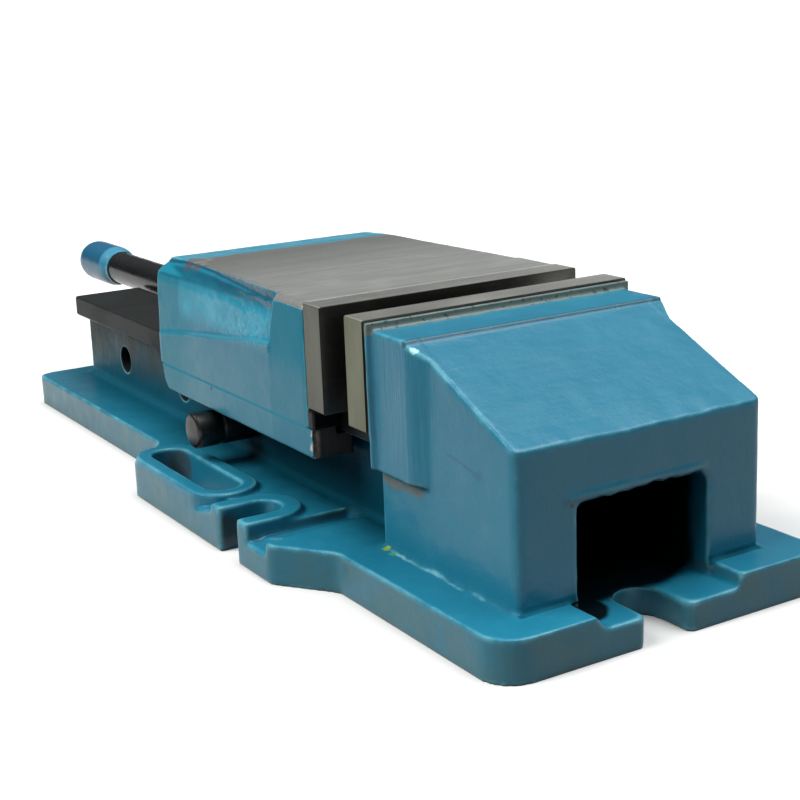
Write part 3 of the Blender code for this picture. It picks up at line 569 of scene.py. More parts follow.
def jaw_band_shade(t):
    """Painted shade: the steep band under the ground top lies in deeper blue; the relief below it is given painted
    light in lighter blue.
    """
    x, y, z = t.xyz()
    n = t.normal()
    steep = t.ramp(n[2], 0.35, 0.75, 1.0, 0.0)
    where = t.m("MULTIPLY", t.ramp(z, 0.1235, 0.1265), steep)
    return t.m("MULTIPLY", where, t.ramp(x, fx(-86.0), fx(-80.0), 0.88, 0.0)), (0.003, 0.062, 0.105)


def jaw_relief_light(t):
    x, y, z = t.xyz()
    # painted light: the up-turned relief is lightened to a brighter blue
    where = t.m("MULTIPLY", band(t, z, 0.105, 0.124, 0.006), band(t, x, fx(-205.0), fx(-84.0), 0.003))
    where = t.m("MULTIPLY", where, t.ramp(t.noise(60.0, 3.0), 0.30, 0.62, 0.55, 0.95))
    return where, (0.020, 0.265, 0.385)


def jaw_low_sheen(t):
    x, y, z = t.xyz()
    # painted reflection: the lower side is greyed towards the bottom, as by a sheen
    return t.ramp(z, 0.108, 0.082, 0.0, 0.50), (0.030, 0.150, 0.205)


def jaw_matt(t):
    """The enamel is duller on the rear end, on the front block and below the relief."""
    x, y, z = t.xyz()
    rear = t.ramp(x, fx(-165.0), fx(-215.0), 0.30, 0.70)
    front = t.m("MULTIPLY", t.ramp(x, fx(-86.0), fx(-82.0)), t.ramp(z, 0.090, 0.108, 0.60, 0.82))
    low = t.ramp(z, 0.106, 0.099, 0.0, 0.38)
    return t.m("MAXIMUM", t.m("MAXIMUM", rear, front), low)


def jaw_front_shade(t):
    x, y, z = t.xyz()
    # painted shade: the front block's side, beside the relief, is given its own deeper blue
    return t.m("MULTIPLY", t.ramp(x, fx(-84.6), fx(-83.2), 0.0, 0.85), t.ramp(z, 0.090, 0.108, 0.35, 1.0)), \
        (0.006, 0.152, 0.228)


def jaw_ledge_highlight(t):
    """Painted highlight: a light blue on the up-turned narrow ledge below the relief."""
    x, y, z = t.xyz()
    up = t.ramp(t.normal()[2], 0.30, 0.60)
    where = t.m("MULTIPLY", up, band(t, x, fx(-206.0), fx(-83.5), 0.004))
    where = t.m("MULTIPLY", where, band(t, z, 0.0950, 0.1080, 0.001))
    return t.m("MULTIPLY", where, 0.70), (0.045, 0.200, 0.270)


def jaw_rear_shade(t):
    x, y, z = t.xyz()
    # painted shade: towards the rear end the blue turns deeper and less grey
    return t.ramp(x, fx(-150.0), fx(-222.0), 0.0, 0.80), (0.006, 0.155, 0.225)


def jaw_toe_shadow(t):
    x, y, z = t.xyz()
    # painted shadow: the jaw's front face under the moving plate is painted near black
    return t.m("MULTIPLY", t.ramp(x, fx(-41.6), fx(-41.2)), t.ramp(z, 0.0812, 0.0820, 1.0, 0.0)), (0.0035, 0.0032, 0.0040)


def strip_chips(t):
    """Bare chipped metal along the strip's front corner."""
    x, y, z = t.xyz()
    ay = t.m("ABSOLUTE", y)
    wob = t.m("MULTIPLY", t.m("SUBTRACT", t.noise(420.0, 4.0, 0.65), 0.5), 0.0075)
    corner = t.m("MULTIPLY", t.ramp(t.m("ADD", x, wob), fx(-38.7), fx(-38.4)), t.ramp(ay, 0.0790, 0.0795))
    d = t.new("ShaderNodeVectorMath", operation="DISTANCE")
    t.put(d.inputs[0], t.pos())
    d.inputs[1].default_value = (fx(-39.0), -0.0803, 0.0605)
    foot = t.ramp(t.m("ADD", d.outputs["Value"], wob), 0.0016, 0.0021, 1.0, 0.0)
    return t.m("MULTIPLY", t.m("MAXIMUM", corner, foot), 0.9), (0.48, 0.52, 0.50)


def jaw_bare(t):
    """Ground top, front face, chamfers and the sliding faces of the moving jaw."""
    x, y, z = t.xyz()
    ay = t.m("ABSOLUTE", y)
    wob = t.m("MULTIPLY", t.m("SUBTRACT", t.noise(120.0, 3.0), 0.5), 0.0014)
    rear = t.m("ADD", x, t.m("MULTIPLY", t.m("SUBTRACT", t.noise(45.0, 3.0), 0.5), 0.010))
    top = t.m("MULTIPLY", t.ramp(z, 0.13500, 0.13535), t.ramp(rear, fx(-205.0), fx(-203.0)))
    chamfer = t.m("MULTIPLY", t.ramp(t.m("ADD", z, wob), 0.1322, 0.1326), t.ramp(x, fx(-75.0), fx(-73.0)))
    front = t.m("MULTIPLY", t.ramp(x, fx(-42.6), fx(-42.3)), t.ramp(z, 0.0806, 0.0812))
    front = t.m("MULTIPLY", front, t.ramp(ay, 0.0790, 0.0795, 1.0, 0.0))
    under = t.m("MULTIPLY", t.ramp(z, 0.0806, 0.0803, 0.0, 1.0), t.ramp(ay, 0.0637, 0.0641, 1.0, 0.0))
    foot = t.m("MULTIPLY", t.ramp(z, 0.0702, 0.0699, 0.0, 1.0), t.ramp(ay, 0.0798, 0.0801, 1.0, 0.0))
    under = t.m("MAXIMUM", under, foot)
    under = t.m("MULTIPLY", under, t.ramp(z, 0.0660, 0.0665))
    return t.m("MAXIMUM", t.m("MAXIMUM", top, chamfer), t.m("MAXIMUM", front, under))


def jaw_texture(t):
    """Pitted sand-cast skin at the front of the relief."""
    x, y, z = t.xyz()
    ay = t.m("ABSOLUTE", y)
    where = t.m("MULTIPLY", t.ramp(x, fx(-165.0), fx(-95.0)), t.ramp(x, fx(-84.0), fx(-80.0), 1.0, 0.0))
    where = t.m("MULTIPLY", where, t.ramp(z, 0.101, 0.106))
    where = t.m("MULTIPLY", where, t.ramp(z, 0.118, 0.131, 1.0, 0.35))
    pits = t.voronoi(1.0, vec=t.scaled(150.0, 330.0, 330.0))
    return where, t.m("ADD", t.m("MULTIPLY", t.ramp(pits, 0.1, 0.5), 1.3),
                      t.m("MULTIPLY", t.noise(1.0, 4.0, 0.6, t.scaled(95.0, 240.0, 240.0)), 1.5))


def strip_bare(t):
    x, y, z = t.xyz()
    end = t.ramp(x, fx(-38.6), fx(-38.2))
    inner = t.m("MULTIPLY", t.ramp(z, 0.0652, 0.0655), t.ramp(t.m("ABSOLUTE", y), 0.0796, 0.0799, 1.0, 0.0))
    return t.m("MAXIMUM", end, inner)


def ground_plate(name, tone=(0.80, 0.80, 0.74)):
    t = Tree(name)
    colour, rough, lines = steel_parts(t, "y", tone, 0.34)
    # the narrow end faces are ground the other way and hold a yellowish oil film
    x, y, z = t.xyz()
    end = t.ramp(t.m("ABSOLUTE", y), 0.0792, 0.0797)
    film = t.noise(1.0, 3.0, 0.55, t.scaled(60.0, 60.0, 14.0))
    still = t.ramp(x, fx(-12.0), fx(-8.0))
    light = t.mix(still, (0.104, 0.107, 0.088), (0.150, 0.158, 0.112))
    dark = t.mix(still, (0.070, 0.071, 0.054), (0.105, 0.108, 0.072))
    oil = t.mix(t.ramp(film, 0.35, 0.7), light, dark)
    colour = t.mix(end, colour, oil)
    # painted shade: the clamping and seating faces are painted near black
    facing = t.ramp(t.m("ABSOLUTE", t.normal()[0]), 0.75, 0.92)
    colour = t.mix(t.m("MULTIPLY", facing, 0.93), colour, (0.010, 0.008, 0.007))
    rough = t.lerp(end, rough, 0.44)
    edge = t.attr("edge")
    corner = t.m("MULTIPLY", t.ramp(edge, 0.15, 0.5, 0.0, 0.35), t.m("SUBTRACT", 1.0, end))
    colour = t.mix(corner, colour, (0.40, 0.40, 0.37))
    pits = t.noise(800.0, 3.0, 0.7)
    h = t.m("ADD", lines, t.m("MULTIPLY", pits, 0.3))
    metal = t.m("SUBTRACT", 1.0, t.m("MULTIPLY", end, 0.75))
    return t.set(base=colour, rough=rough, metal=metal, spec=0.25, normal=t.bump(h, 0.35, 0.00012))


def turned_steel(name, tone, rough, rings=0.0, axis="x"):
    """Turned metal: fine rings round the axis, slight handling marks."""
    t = Tree(name)
    s = {"x": (2600.0, 60.0, 60.0), "y": (60.0, 2600.0, 60.0), "z": (60.0, 60.0, 2600.0)}[axis]
    lines = t.noise(1.0, 2.0, 0.5, t.scaled(*s))
    marks = t.noise(90.0, 4.0, 0.6)
    grey = t.m("MULTIPLY", t.ramp(lines, 0.3, 0.7, 0.85, 1.12, False), t.ramp(marks, 0.35, 0.75, 1.06, 0.80))
    n = t.new("ShaderNodeVectorMath", operation="SCALE")
    n.inputs[0].default_value = tone
    t.put(n.inputs["Scale"], grey)
    r = t.m("ADD", t.ramp(marks, 0.3, 0.8, rough - 0.04, rough + 0.10, False),
            t.ramp(lines, 0.3, 0.7, -0.02, 0.03, False))
    return t.set(base=n.outputs[0], rough=r, metal=1.0, normal=t.bump(lines, 0.4, 0.00006 + rings))


def black_oxide(name, tone=(0.0045, 0.0050, 0.0058), rough=0.24):
    t = Tree(name)
    marks = t.noise(60.0, 4.0, 0.6)
    wear = t.noise(340.0, 3.0, 0.6)
    c = t.mix(t.ramp(marks, 0.4, 0.75, 0.0, 0.6), tone, tuple(2.0 * v for v in tone))
    c = t.mix(t.ramp(t.attr("edge"), 0.2, 0.6, 0.0, 0.4), c, (0.10, 0.10, 0.105))
    r = t.m("ADD", t.ramp(marks, 0.3, 0.8, rough - 0.06, rough + 0.12, False), t.ramp(wear, 0.4, 0.7, 0.0, 0.05))
    return t.set(base=c, rough=r, metal=0.20, spec=0.26, normal=t.bump(wear, 0.08, 0.00003))


def moulded_rubber(name):
    t = Tree(name)
    grain = t.noise(1500.0, 3.0, 0.6)
    c = t.mix(t.ramp(t.noise(120.0, 3.0), 0.4, 0.7), (0.010, 0.010, 0.010), (0.022, 0.022, 0.022))
    return t.set(base=c, rough=t.ramp(grain, 0.3, 0.7, 0.50, 0.66, False), normal=t.bump(grain, 0.3, 0.00008))


def pale_floor(name):
    t = Tree(name)
    soft = t.noise(3.0, 3.0, 0.5)
    c = t.mix(t.ramp(soft, 0.35, 0.65), (0.63, 0.63, 0.627), (0.65, 0.65, 0.647))
    return t.set(base=c, rough=0.75, spec=0.25)


BLUE_BED = enamel(
    "blue_enamel_bed", bed_bare, "x", (0.014, 0.0155, 0.0155), 0.46,
    spots=((125.5, -41.1, 65.3, 1.3, (0.004, 0.014, 0.020)),
           (141.5, -40.5, 16.2, 1.6, (0.004, 0.014, 0.020)),
           # the light-blue spot below is a painted highlight, a glint on the head's top near corner
           (53.0, -74.0, 127.0, 2.4, (0.30, 0.58, 0.64)),
           (27.0, -74.2, 20.9, 2.4, (0.050, 0.225, 0.120)),
           (19.5, -73.0, 20.9, 2.6, (0.160, 0.270, 0.040))),
    streaks=bed_streaks, texture=bed_texture,
    shades=(bed_rear_shade, bed_walls_shade, bed_wall_rear_shade, bed_edges_grey, bed_feet_shade, bed_scuff, slot_grime, bed_primer),
    covers=(bed_foot_highlight, bed_crease_shade, bed_lip, bed_tunnel_bare_and_shade), dull=bed_matt, bare_metal=0.06)
BLUE_JAW = enamel("blue_enamel_jaw", jaw_bare, "y", (0.62, 0.63, 0.60), 0.42,
                  stains=((-200.0, -66.0, 135.4, 10.0, (0.062, 0.052, 0.060)),
                          (-189.0, -71.5, 135.4, 6.0, (0.070, 0.062, 0.070))),
                  texture=jaw_texture, hollow=0.10,
                  bare_rear_shade=(-205.0, -90.0, 0.62),
                  shades=(jaw_rear_shade, jaw_front_shade, jaw_band_shade, jaw_relief_light, jaw_low_sheen),
                  covers=(jaw_ledge_highlight, jaw_toe_shadow), dull=jaw_matt)
BLUE_STRIP = enamel("blue_enamel_strip", strip_bare, "z", (0.095, 0.078, 0.073), 0.5, hollow=0.2,
                    spots=((-160.0, -80.5, 67.6, 1.3, (0.006, 0.035, 0.055)),),
                    shades=(jaw_rear_shade, jaw_low_sheen), covers=(strip_chips,), dull=jaw_matt)


def collar_body(t):
    x, y, z = t.xyz()
    return t.ramp(x, fx(-510.0), fx(-508.0), 0.85, 0.0), (0.004, 0.062, 0.130)


def collar_rim_highlight(t):
    x, y, z = t.xyz()
    # painted highlight: a lighter band on the collar's front rim
    return t.ramp(x, fx(-509.0), fx(-506.5), 0.0, 0.6), (0.050, 0.200, 0.310)


BLUE_COLLAR = enamel("blue_enamel_collar", shades=(collar_body, collar_rim_highlight))
PLATE = ground_plate("ground_hardened_plate")
PIN = turned_steel("dark_turned_pin", (0.052, 0.049, 0.048), 0.36, axis="y")
BRIGHT = turned_steel("bright_turned_steel", (0.40, 0.40, 0.40), 0.30)
BRONZE = turned_steel("turned_bronze", (0.42, 0.25, 0.095), 0.33)
SPRING = turned_steel("drawn_spring_wire", (0.26, 0.26, 0.27), 0.32)
TUBE = black_oxide("black_oxide_tube")
SCREW = black_oxide("black_oxide_screw", (0.02, 0.02, 0.021), 0.36)
RUBBER = moulded_rubber("moulded_nitrile")
FLOOR = pale_floor("pale_floor")


# =====================================================================
# mesh tools
# =====================================================================
def lattice(p, scale, seed):
    """Smooth value noise in [-1, 1] at points p (millimetres)."""
    q = p * scale + seed * 17.31
    i = np.floor(q).astype(np.int64)
    f = q - i
    u = f * f * (3.0 - 2.0 * f)
    total = np.zeros(len(p))
    for dx in (0, 1):
        for dy in (0, 1):
            for dz in (0, 1):
                a, b, c = i[:, 0] + dx, i[:, 1] + dy, i[:, 2] + dz
                h = (a * 73856093) ^ (b * 19349663) ^ (c * 83492791) ^ (seed * 2654435)
                h = (h * 1103515245 + 12345) & 0x7FFFFFFF
                h = ((h >> 7) * 48271) & 0x7FFFFFFF
                v = (h % 65536) / 32767.5 - 1.0
                w = ((u[:, 0] if dx else 1 - u[:, 0]) * (u[:, 1] if dy else 1 - u[:, 1])
                     * (u[:, 2] if dz else 1 - u[:, 2]))
                total += v * w
    return total


def smoothstep(v, a, b):
    t = np.clip((v - a) / (b - a), 0.0, 1.0)
    return t * t * (3 - 2 * t)


def inside(v, a, b, soft=1.0):
    return smoothstep(v, a - soft, a) * (1.0 - smoothstep(v, b, b + soft))


def points(mesh):
    co = np.empty(len(mesh.vertices) * 3, np.float32)
    mesh.vertices.foreach_get("co", co)
    p = co.reshape(-1, 3).astype(np.float64) / MM
    p[:, 0] -= SHIFT
    return p


def write_points(mesh, p):
    q = p.copy()
    q[:, 0] += SHIFT
    mesh.vertices.foreach_set("co", (q * MM).astype(np.float32).ravel())
    mesh.update()


def edge_list(mesh):
    e = np.empty(len(mesh.edges) * 2, np.int32)
    mesh.edges.foreach_get("vertices", e)
    return e.reshape(-1, 2)


def normals(mesh):
    n = np.empty(len(mesh.vertices) * 3, np.float32)
    mesh.vertex_normals.foreach_get("vector", n)
    return n.reshape(-1, 3).astype(np.float64)


def relax(p, edges, weight, rounds):
    n = len(p)
    count = np.bincount(edges[:, 0], minlength=n) + np.bincount(edges[:, 1], minlength=n)
    count = np.maximum(count, 1)[:, None]
    w = weight[:, None]
    for _ in range(rounds):
        total = np.zeros_like(p)
        for k in range(3):
            total[:, k] = (np.bincount(edges[:, 0], weights=p[edges[:, 1], k], minlength=n)
                           + np.bincount(edges[:, 1], weights=p[edges[:, 0], k], minlength=n))
        p = p + w * (total / count - p)
    return p


def mark_edges(mesh, reach=1.0):
    """Float attribute: positive on outer edges, negative in hollows, zero on flats."""
    p, e, nrm = points(mesh), edge_list(mesh), normals(mesh)
    n = len(p)
    d = p[e[:, 1]] - p[e[:, 0]]
    length = np.maximum(np.linalg.norm(d, axis=1), 1e-6)
    bend = ((nrm[e[:, 1]] - nrm[e[:, 0]]) * d).sum(1) / length
    bend = bend / np.maximum(length, reach) * reach
    total = np.bincount(e[:, 0], weights=bend, minlength=n) + np.bincount(e[:, 1], weights=bend, minlength=n)
    count = np.maximum(np.bincount(e[:, 0], minlength=n) + np.bincount(e[:, 1], minlength=n), 1)
    c = total / count
    for _ in range(2):
        avg = (np.bincount(e[:, 0], weights=c[e[:, 1]], minlength=n)
               + np.bincount(e[:, 1], weights=c[e[:, 0]], minlength=n)) / count
        c = 0.5 * c + 0.5 * avg
    a = mesh.attributes.get("edge") or mesh.attributes.new("edge", "FLOAT", "POINT")
    a.data.foreach_set("value", (c * 2.2).astype(np.float32))


def calm(mesh, low, high, out):
    """Take the edge tone away on the seam between low and high, beyond out from the middle."""
    p = points(mesh)
    a = mesh.attributes["edge"]
    v = np.empty(len(p), np.float32)
    a.data.foreach_get("value", v)
    seam = inside(p[:, 2], low, high, 0.5) * smoothstep(np.abs(p[:, 1]), out - 0.5, out)
    a.data.foreach_set("value", (v * (1 - seam)).astype(np.float32))


def cad_copy(node, name):
    mesh = nodes[node].data.copy()
    mesh.name = name
    bm = bmesh.new()
    bm.from_mesh(mesh)
    bmesh.ops.remove_doubles(bm, verts=bm.verts, dist=2e-6)
    bm.to_mesh(mesh)
    bm.free()
    mesh.materials.clear()
    for a in list(mesh.attributes):
        if a.name.startswith("custom") or a.name == "sharp_face":
            pass
    obj = bpy.data.objects.new(name, mesh)
    collection.objects.link(obj)
    return obj


def baked(obj):
    """Replace the object's mesh by its evaluated one and drop the modifiers."""
    dg = bpy.context.evaluated_depsgraph_get()
    mesh = bpy.data.meshes.new_from_object(obj.evaluated_get(dg), depsgraph=dg)
    obj.modifiers.clear()
    old = obj.data
    obj.data = mesh
    mesh.name = obj.name
    bpy.data.meshes.remove(old)
    return obj


def voxel(obj, size):
    m = obj.modifiers.new("skin", "REMESH")
    m.mode = "VOXEL"
    m.voxel_size = size * MM
    m.adaptivity = 0.0
    return baked(obj)


def thin_out(obj, faces):
    obj.data.update()
    tris = sum(len(p.vertices) - 2 for p in obj.data.polygons)
    if tris > faces:
        m = obj.modifiers.new("thin", "DECIMATE")
        m.ratio = faces / tris
        baked(obj)
    return obj


def stand_in(obj, body, material, slot, *cad):
    obj.data.materials.clear()
    obj.data.materials.append(material)
    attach(obj, body)
    if cad:
        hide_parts(*cad)
    return obj


# =====================================================================
# bed casting
# =====================================================================
def make_bed():
    obj = voxel(cad_copy("bed_casting", "bed_skin"), 1.05)
    mesh = obj.data
    p = points(mesh)
    x, y, z = p[:, 0], p[:, 1], p[:, 2]
    ay = np.abs(y)
    rail = inside(x, -440, 15.0, 1.0) * inside(ay, 11.5, 64.2, 0.8) * inside(z, 65.0, 82.0, 0.6)
    seat = inside(x, 13.5, 19.4, 1.2) * smoothstep(z, 79.0, 80.0)
    bottom = 1.0 - smoothstep(z, 0.6, 2.2)
    bores = inside(ay, 36.5, 54.5, 0.5) * inside(z, 30, 55, 1) * inside(x, -380, -50, 2)
    lip_edge = inside(x, 16.0, 22.0, 0.6) * smoothstep(z, 128.4, 129.4)
    step = inside(x, 46.0, 51.0, 1.0) * smoothstep(z, 126.5, 128.0)
    hard = np.maximum.reduce([rail, seat, 0.8 * bottom, 0.9 * bores, lip_edge, 0.8 * step])
    weight = 0.55 * (1.0 - hard) + 0.012
    p = relax(p, edge_list(mesh), weight, 5)
    write_points(mesh, p)

    # slow waves and small unevenness of the casting under the enamel
    nrm = normals(mesh)
    soft = 1.0 - np.clip(hard * 1.5, 0, 1)
    channel = inside(ay, -1, 39.5, 1.0) * inside(z, 13, 67, 1.0) * (1 - smoothstep(p[:, 0], 90, 110))
    soft = soft * (1 - channel) * smoothstep(p[:, 2], 1.5, 5.0)
    outer = smoothstep(ay, 112, 116) + smoothstep(p[:, 0], 140, 144) + (1 - smoothstep(p[:, 0], -453, -449))
    soft = soft * (1 - np.clip(outer, 0, 1) * 0.6)
    amp = (0.16 * lattice(p, 1 / 26.0, 3) + 0.10 * lattice(p, 1 / 9.0, 5) + 0.05 * lattice(p, 1 / 4.0, 7))
    out = nrm * (amp * soft)[:, None]

    # uneven top line of the end face, and the hand-dressed tunnel mouth
    px, py, pz = p[:, 0], p[:, 1], p[:, 2]
    rim = smoothstep(px, 112, 124) * inside(pz, 88, 99, 2.0)
    out[:, 2] += rim * (0.9 * lattice(p * [0, 1, 0] + 3.0, 1 / 22.0, 11) + 0.35 * lattice(p * [0, 1, 0], 1 / 8.0, 12))
    mouth = smoothstep(px, 112, 124) * inside(pz, 64.6, 67.0, 0.6) * inside(np.abs(py), -1, 38, 2)
    out[:, 2] += mouth * (0.9 * lattice(p * [0, 1, 0], 1 / 13.0, 21) + 0.55 * lattice(p * [0, 1, 0], 1 / 5.0, 22) - 0.4)
    lip = smoothstep(px, 123.2, 124.6) * inside(np.abs(py + 4), -1, 38, 5) \
        * inside(pz, 68.2, 69.2, 2.2) * (0.75 + 0.25 * lattice(p, 1 / 10.0, 31))
    out[:, 0] += 0.75 * lip
    write_points(mesh, p + out)
    thin_out(obj, 190000)
    mark_edges(obj.data, 1.5)
    obj.data.shade_smooth()
    return stand_in(obj, "bed", BLUE_BED, "blue_enamel", "bed_casting")


# =====================================================================
# moving jaw casting
# =====================================================================
def make_jaw():
    obj = voxel(cad_copy("moving_jaw_casting", "moving_jaw_skin"), 0.80)
    mesh = obj.data
    p = points(mesh)
    x, y, z = p[:, 0], p[:, 1], p[:, 2]
    ay = np.abs(y)
    top = smoothstep(z, 133.6, 134.6) * smoothstep(x, -206, -196)
    front = smoothstep(x, -45.2, -44.0)
    under = (1.0 - smoothstep(z, 80.9, 82.2)) * (1 - smoothstep(ay, 64.5, 66.0))
    foot = 1.0 - smoothstep(z, 70.6, 72.0)
    hollow = inside(x, -226.5, -56.5, 0.5) * inside(ay, -1, 35.5, 0.5) * inside(z, 60, 117.5, 0.5)
    hard = np.maximum.reduce([top, front, under, foot, 0.7 * hollow])
    weight = 0.55 * (1.0 - hard) + 0.02
    p = relax(p, edge_list(mesh), weight, 5)
    write_points(mesh, p)
    nrm = normals(mesh)
    px, py, pz = p[:, 0], p[:, 1], p[:, 2]
    apy = np.abs(py)
    soft = 1.0 - np.clip(hard * 1.6, 0, 1)
    soft *= smoothstep(apy, 64.5, 67.0) + smoothstep(pz, 118, 120) * 0.5
    soft = np.clip(soft, 0, 1) * (1 - inside(apy, -1, 36.5, 1) * inside(pz, 60, 119, 1))
    amp = 0.12 * lattice(p, 1 / 20.0, 43) + 0.08 * lattice(p, 1 / 7.0, 45)
    relief = inside(px, -170, -86, 8) * inside(pz, 103, 124, 3) * smoothstep(apy, 70, 74)
    long = p * np.array([0.45, 1.0, 1.0])
    amp = amp + relief * (0.24 * lattice(long, 1 / 3.0, 47) + 0.10 * lattice(long, 1 / 1.6, 48))
    low_side = np.minimum(0.0, amp) * 0.0
    p = p + nrm * ((amp + low_side) * soft)[:, None]
    # keep the skin within the casting's own width
    p[:, 1] = np.clip(p[:, 1], -80.62, 80.62)
    iron_seam(p, 69.0, 71.0, 69.8, 70.25)
    write_points(mesh, p)
    thin_out(obj, 185000)
    mark_edges(obj.data, 1.2)
    calm(obj.data, 69.0, 72.0, 78.0)
    obj.data.shade_smooth()
    return stand_in(obj, "moving_jaw", BLUE_JAW, "blue_enamel", "moving_jaw_casting")


def iron_seam(p, low, high, level, reach):
    """Lay the corner rows at the seam of skirt and keep strip flat in the outer face."""
    row = (np.abs(p[:, 1]) > 79.1) & (p[:, 2] > low) & (p[:, 2] < high) & (p[:, 0] < -44.0) & (p[:, 0] > -229.0)
    p[row, 1] = np.sign(p[row, 1]) * 80.5
    lip = row & ((p[:, 2] < reach) if reach > level else (p[:, 2] > reach))
    p[lip, 2] = level


def make_strip(tag):
    node = "keep_strip_" + tag
    obj = voxel(cad_copy(node, node + "_skin"), 0.6)
    mesh = obj.data
    p = points(mesh)
    ay = np.abs(p[:, 1])
    outside = smoothstep(ay, 77.5, 79.5)
    seam = smoothstep(p[:, 2], 67.4, 68.4)
    weight = 0.05 + 0.45 * outside * (1 - smoothstep(p[:, 0], -41, -39)) * (1 - seam)
    p[:, 2] += 0.27 * smoothstep(p[:, 2], 68.6, 69.3) * smoothstep(ay, 78.0, 79.0)
    p = relax(p, edge_list(mesh), weight, 5)
    write_points(mesh, p)
    nrm = normals(mesh)
    soft = outside * (1 - smoothstep(p[:, 0], -41, -39))
    amp = 0.12 * lattice(p, 1 / 16.0, 61) + 0.06 * lattice(p, 1 / 5.0, 63)
    p = p + nrm * (np.minimum(amp, 0.08) * soft)[:, None]
    # torn enamel along the front end: small shells broken out of the corner
    ragged = smoothstep(p[:, 0], -41.0, -37.8) * smoothstep(ay, 76.0, 80.0)
    bite = np.clip(lattice(p, 1 / 2.6, 71) + 0.25 * lattice(p, 1 / 1.2, 72), -0.2, 1.0)
    p[:, 0] -= ragged * (0.9 + 1.0 * bite)
    iron_seam(p, 68.3, 70.3, 69.78, 69.25)
    write_points(mesh, p)
    thin_out(obj, 70000)
    mark_edges(obj.data, 0.9)
    calm(obj.data, 67.0, 71.0, 77.0)
    obj.data.shade_smooth()
    return stand_in(obj, "moving_jaw", BLUE_STRIP, "blue_enamel", node)


# =====================================================================
# plates, screws and turned pieces
# =====================================================================
def make_plate(node, body):
    obj = cad_copy(node, node + "_ground")
    b = obj.modifiers.new("edges", "BEVEL")
    b.limit_method = "ANGLE"
    b.angle_limit = math.radians(40)
    b.width = 0.35 * MM
    b.segments = 2
    b.use_clamp_overlap = True
    baked(obj)
    mark_edges(obj.data, 0.4)
    obj.data.shade_smooth()
    obj.data.set_sharp_from_angle(angle=math.radians(30))
    return stand_in(obj, body, PLATE, "hardened_plate", node)


def lathe(name, profile, axis="X", centre=(0.0, AXIS_Z), seg=96, closed=False, ease=0.25):
    """Turned piece with its profile corners eased by a small chamfer.
    profile is (distance along the axis, radius) in fit millimetres."""
    pts = []
    n = len(profile)
    for i, (w, r) in enumerate(profile):
        if not closed and i in (0, n - 1):
            if r > 0.05:
                other = profile[1] if i == 0 else profile[-2]
                dw, dr = other[0] - w, other[1] - r
                ln = math.hypot(dw, dr)
                e = min(ease, ln * 0.3, r * 0.3)
                near = (w + dw / ln * e, r + dr / ln * e)
                flat = (w, r - e)
                pts += [flat, near] if i == 0 else [near, flat]
                continue
            pts.append((w, r))
            continue
        a, b = profile[i - 1], profile[(i + 1) % n]
        va, vb = (a[0] - w, a[1] - r), (b[0] - w, b[1] - r)
        la, lb = math.hypot(*va), math.hypot(*vb)
        e = min(ease, la * 0.3, lb * 0.3)
        pts.append((w + va[0] / la * e, r + va[1] / la * e))
        pts.append((w + vb[0] / lb * e, r + vb[1] / lb * e))
    bm = bmesh.new()
    rings = []
    for w, r in pts:
        ring = []
        for k in range(seg):
            a = 2 * math.pi * k / seg
            u, v = centre[0] + r * math.cos(a), centre[1] + r * math.sin(a)
            co = {"X": (w + SHIFT, u, v), "Y": (u + SHIFT, w, v), "Z": (u + SHIFT, v, w)}[axis]
            ring.append(bm.verts.new(Vector(co) * MM))
        rings.append(ring)
    pairs = list(zip(rings, rings[1:])) + ([(rings[-1], rings[0])] if closed else [])
    for a, b in pairs:
        for i in range(seg):
            j = (i + 1) % seg
            bm.faces.new((a[i], a[j], b[j], b[i]))
    if not closed:
        bm.faces.new(rings[0])
        bm.faces.new(list(reversed(rings[-1])))
    bmesh.ops.recalc_face_normals(bm, faces=bm.faces)
    if bm.calc_volume(signed=True) < 0:
        bmesh.ops.reverse_faces(bm, faces=bm.faces)
    mesh = bpy.data.meshes.new(name)
    bm.to_mesh(mesh)
    bm.free()
    obj = bpy.data.objects.new(name, mesh)
    collection.objects.link(obj)
    mesh.shade_smooth()
    mesh.set_sharp_from_angle(angle=math.radians(38))
    return obj


def boolean(obj, other, operation):
    m = obj.modifiers.new("b", "BOOLEAN")
    m.operation = operation
    m.solver = "EXACT"
    m.object = other
    baked(obj)
    bpy.data.objects.remove(other)
    return obj


def finish_turned(obj, body, material, slot, *cad):
    obj.data.shade_smooth()
    obj.data.set_sharp_from_angle(angle=math.radians(38))
    mark_edges(obj.data, 0.4)
    return stand_in(obj, body, material, slot, *cad)


def cap_screw(node, body, axis, centre, seat, way, head_r, head_h, shank_r, shank_l):
    w = [(seat - way * head_h, head_r - 0.6), (seat - way * (head_h - 0.6), head_r),
         (seat, head_r), (seat, shank_r), (seat + way * (shank_l - 0.8), shank_r),
         (seat + way * shank_l, shank_r - 0.8)]
    # knurled rim of the head
    screw = lathe(node + "_fine", w, axis, centre, 72, ease=0.15)
    mesh = screw.data
    p = points(mesh)
    along = {"X": 0, "Y": 1, "Z": 2}[axis]
    plane = [i for i in range(3) if i != along]
    c = np.array(centre, float)
    rel = p[:, plane] - c
    r = np.hypot(rel[:, 0], rel[:, 1])
    rim = (r > head_r - 0.35)
    ang = np.round(np.arctan2(rel[:, 1], rel[:, 0]) / (2 * math.pi / 72)).astype(int)
    groove = np.where(rim & (ang % 2 == 0), 0.96, 1.0)
    p[:, plane] = c + rel * groove[:, None]
    write_points(mesh, p)
    a, b = sorted((seat - way * (head_h + 2.0), seat - way * head_h * 0.45))
    socket = lathe("socket", [(a, head_r * 0.56), (b, head_r * 0.56)], axis, centre, 6, ease=0.01)
    boolean(screw, socket, "DIFFERENCE")
    return finish_turned(screw, body, SCREW, "black_oxide", node)


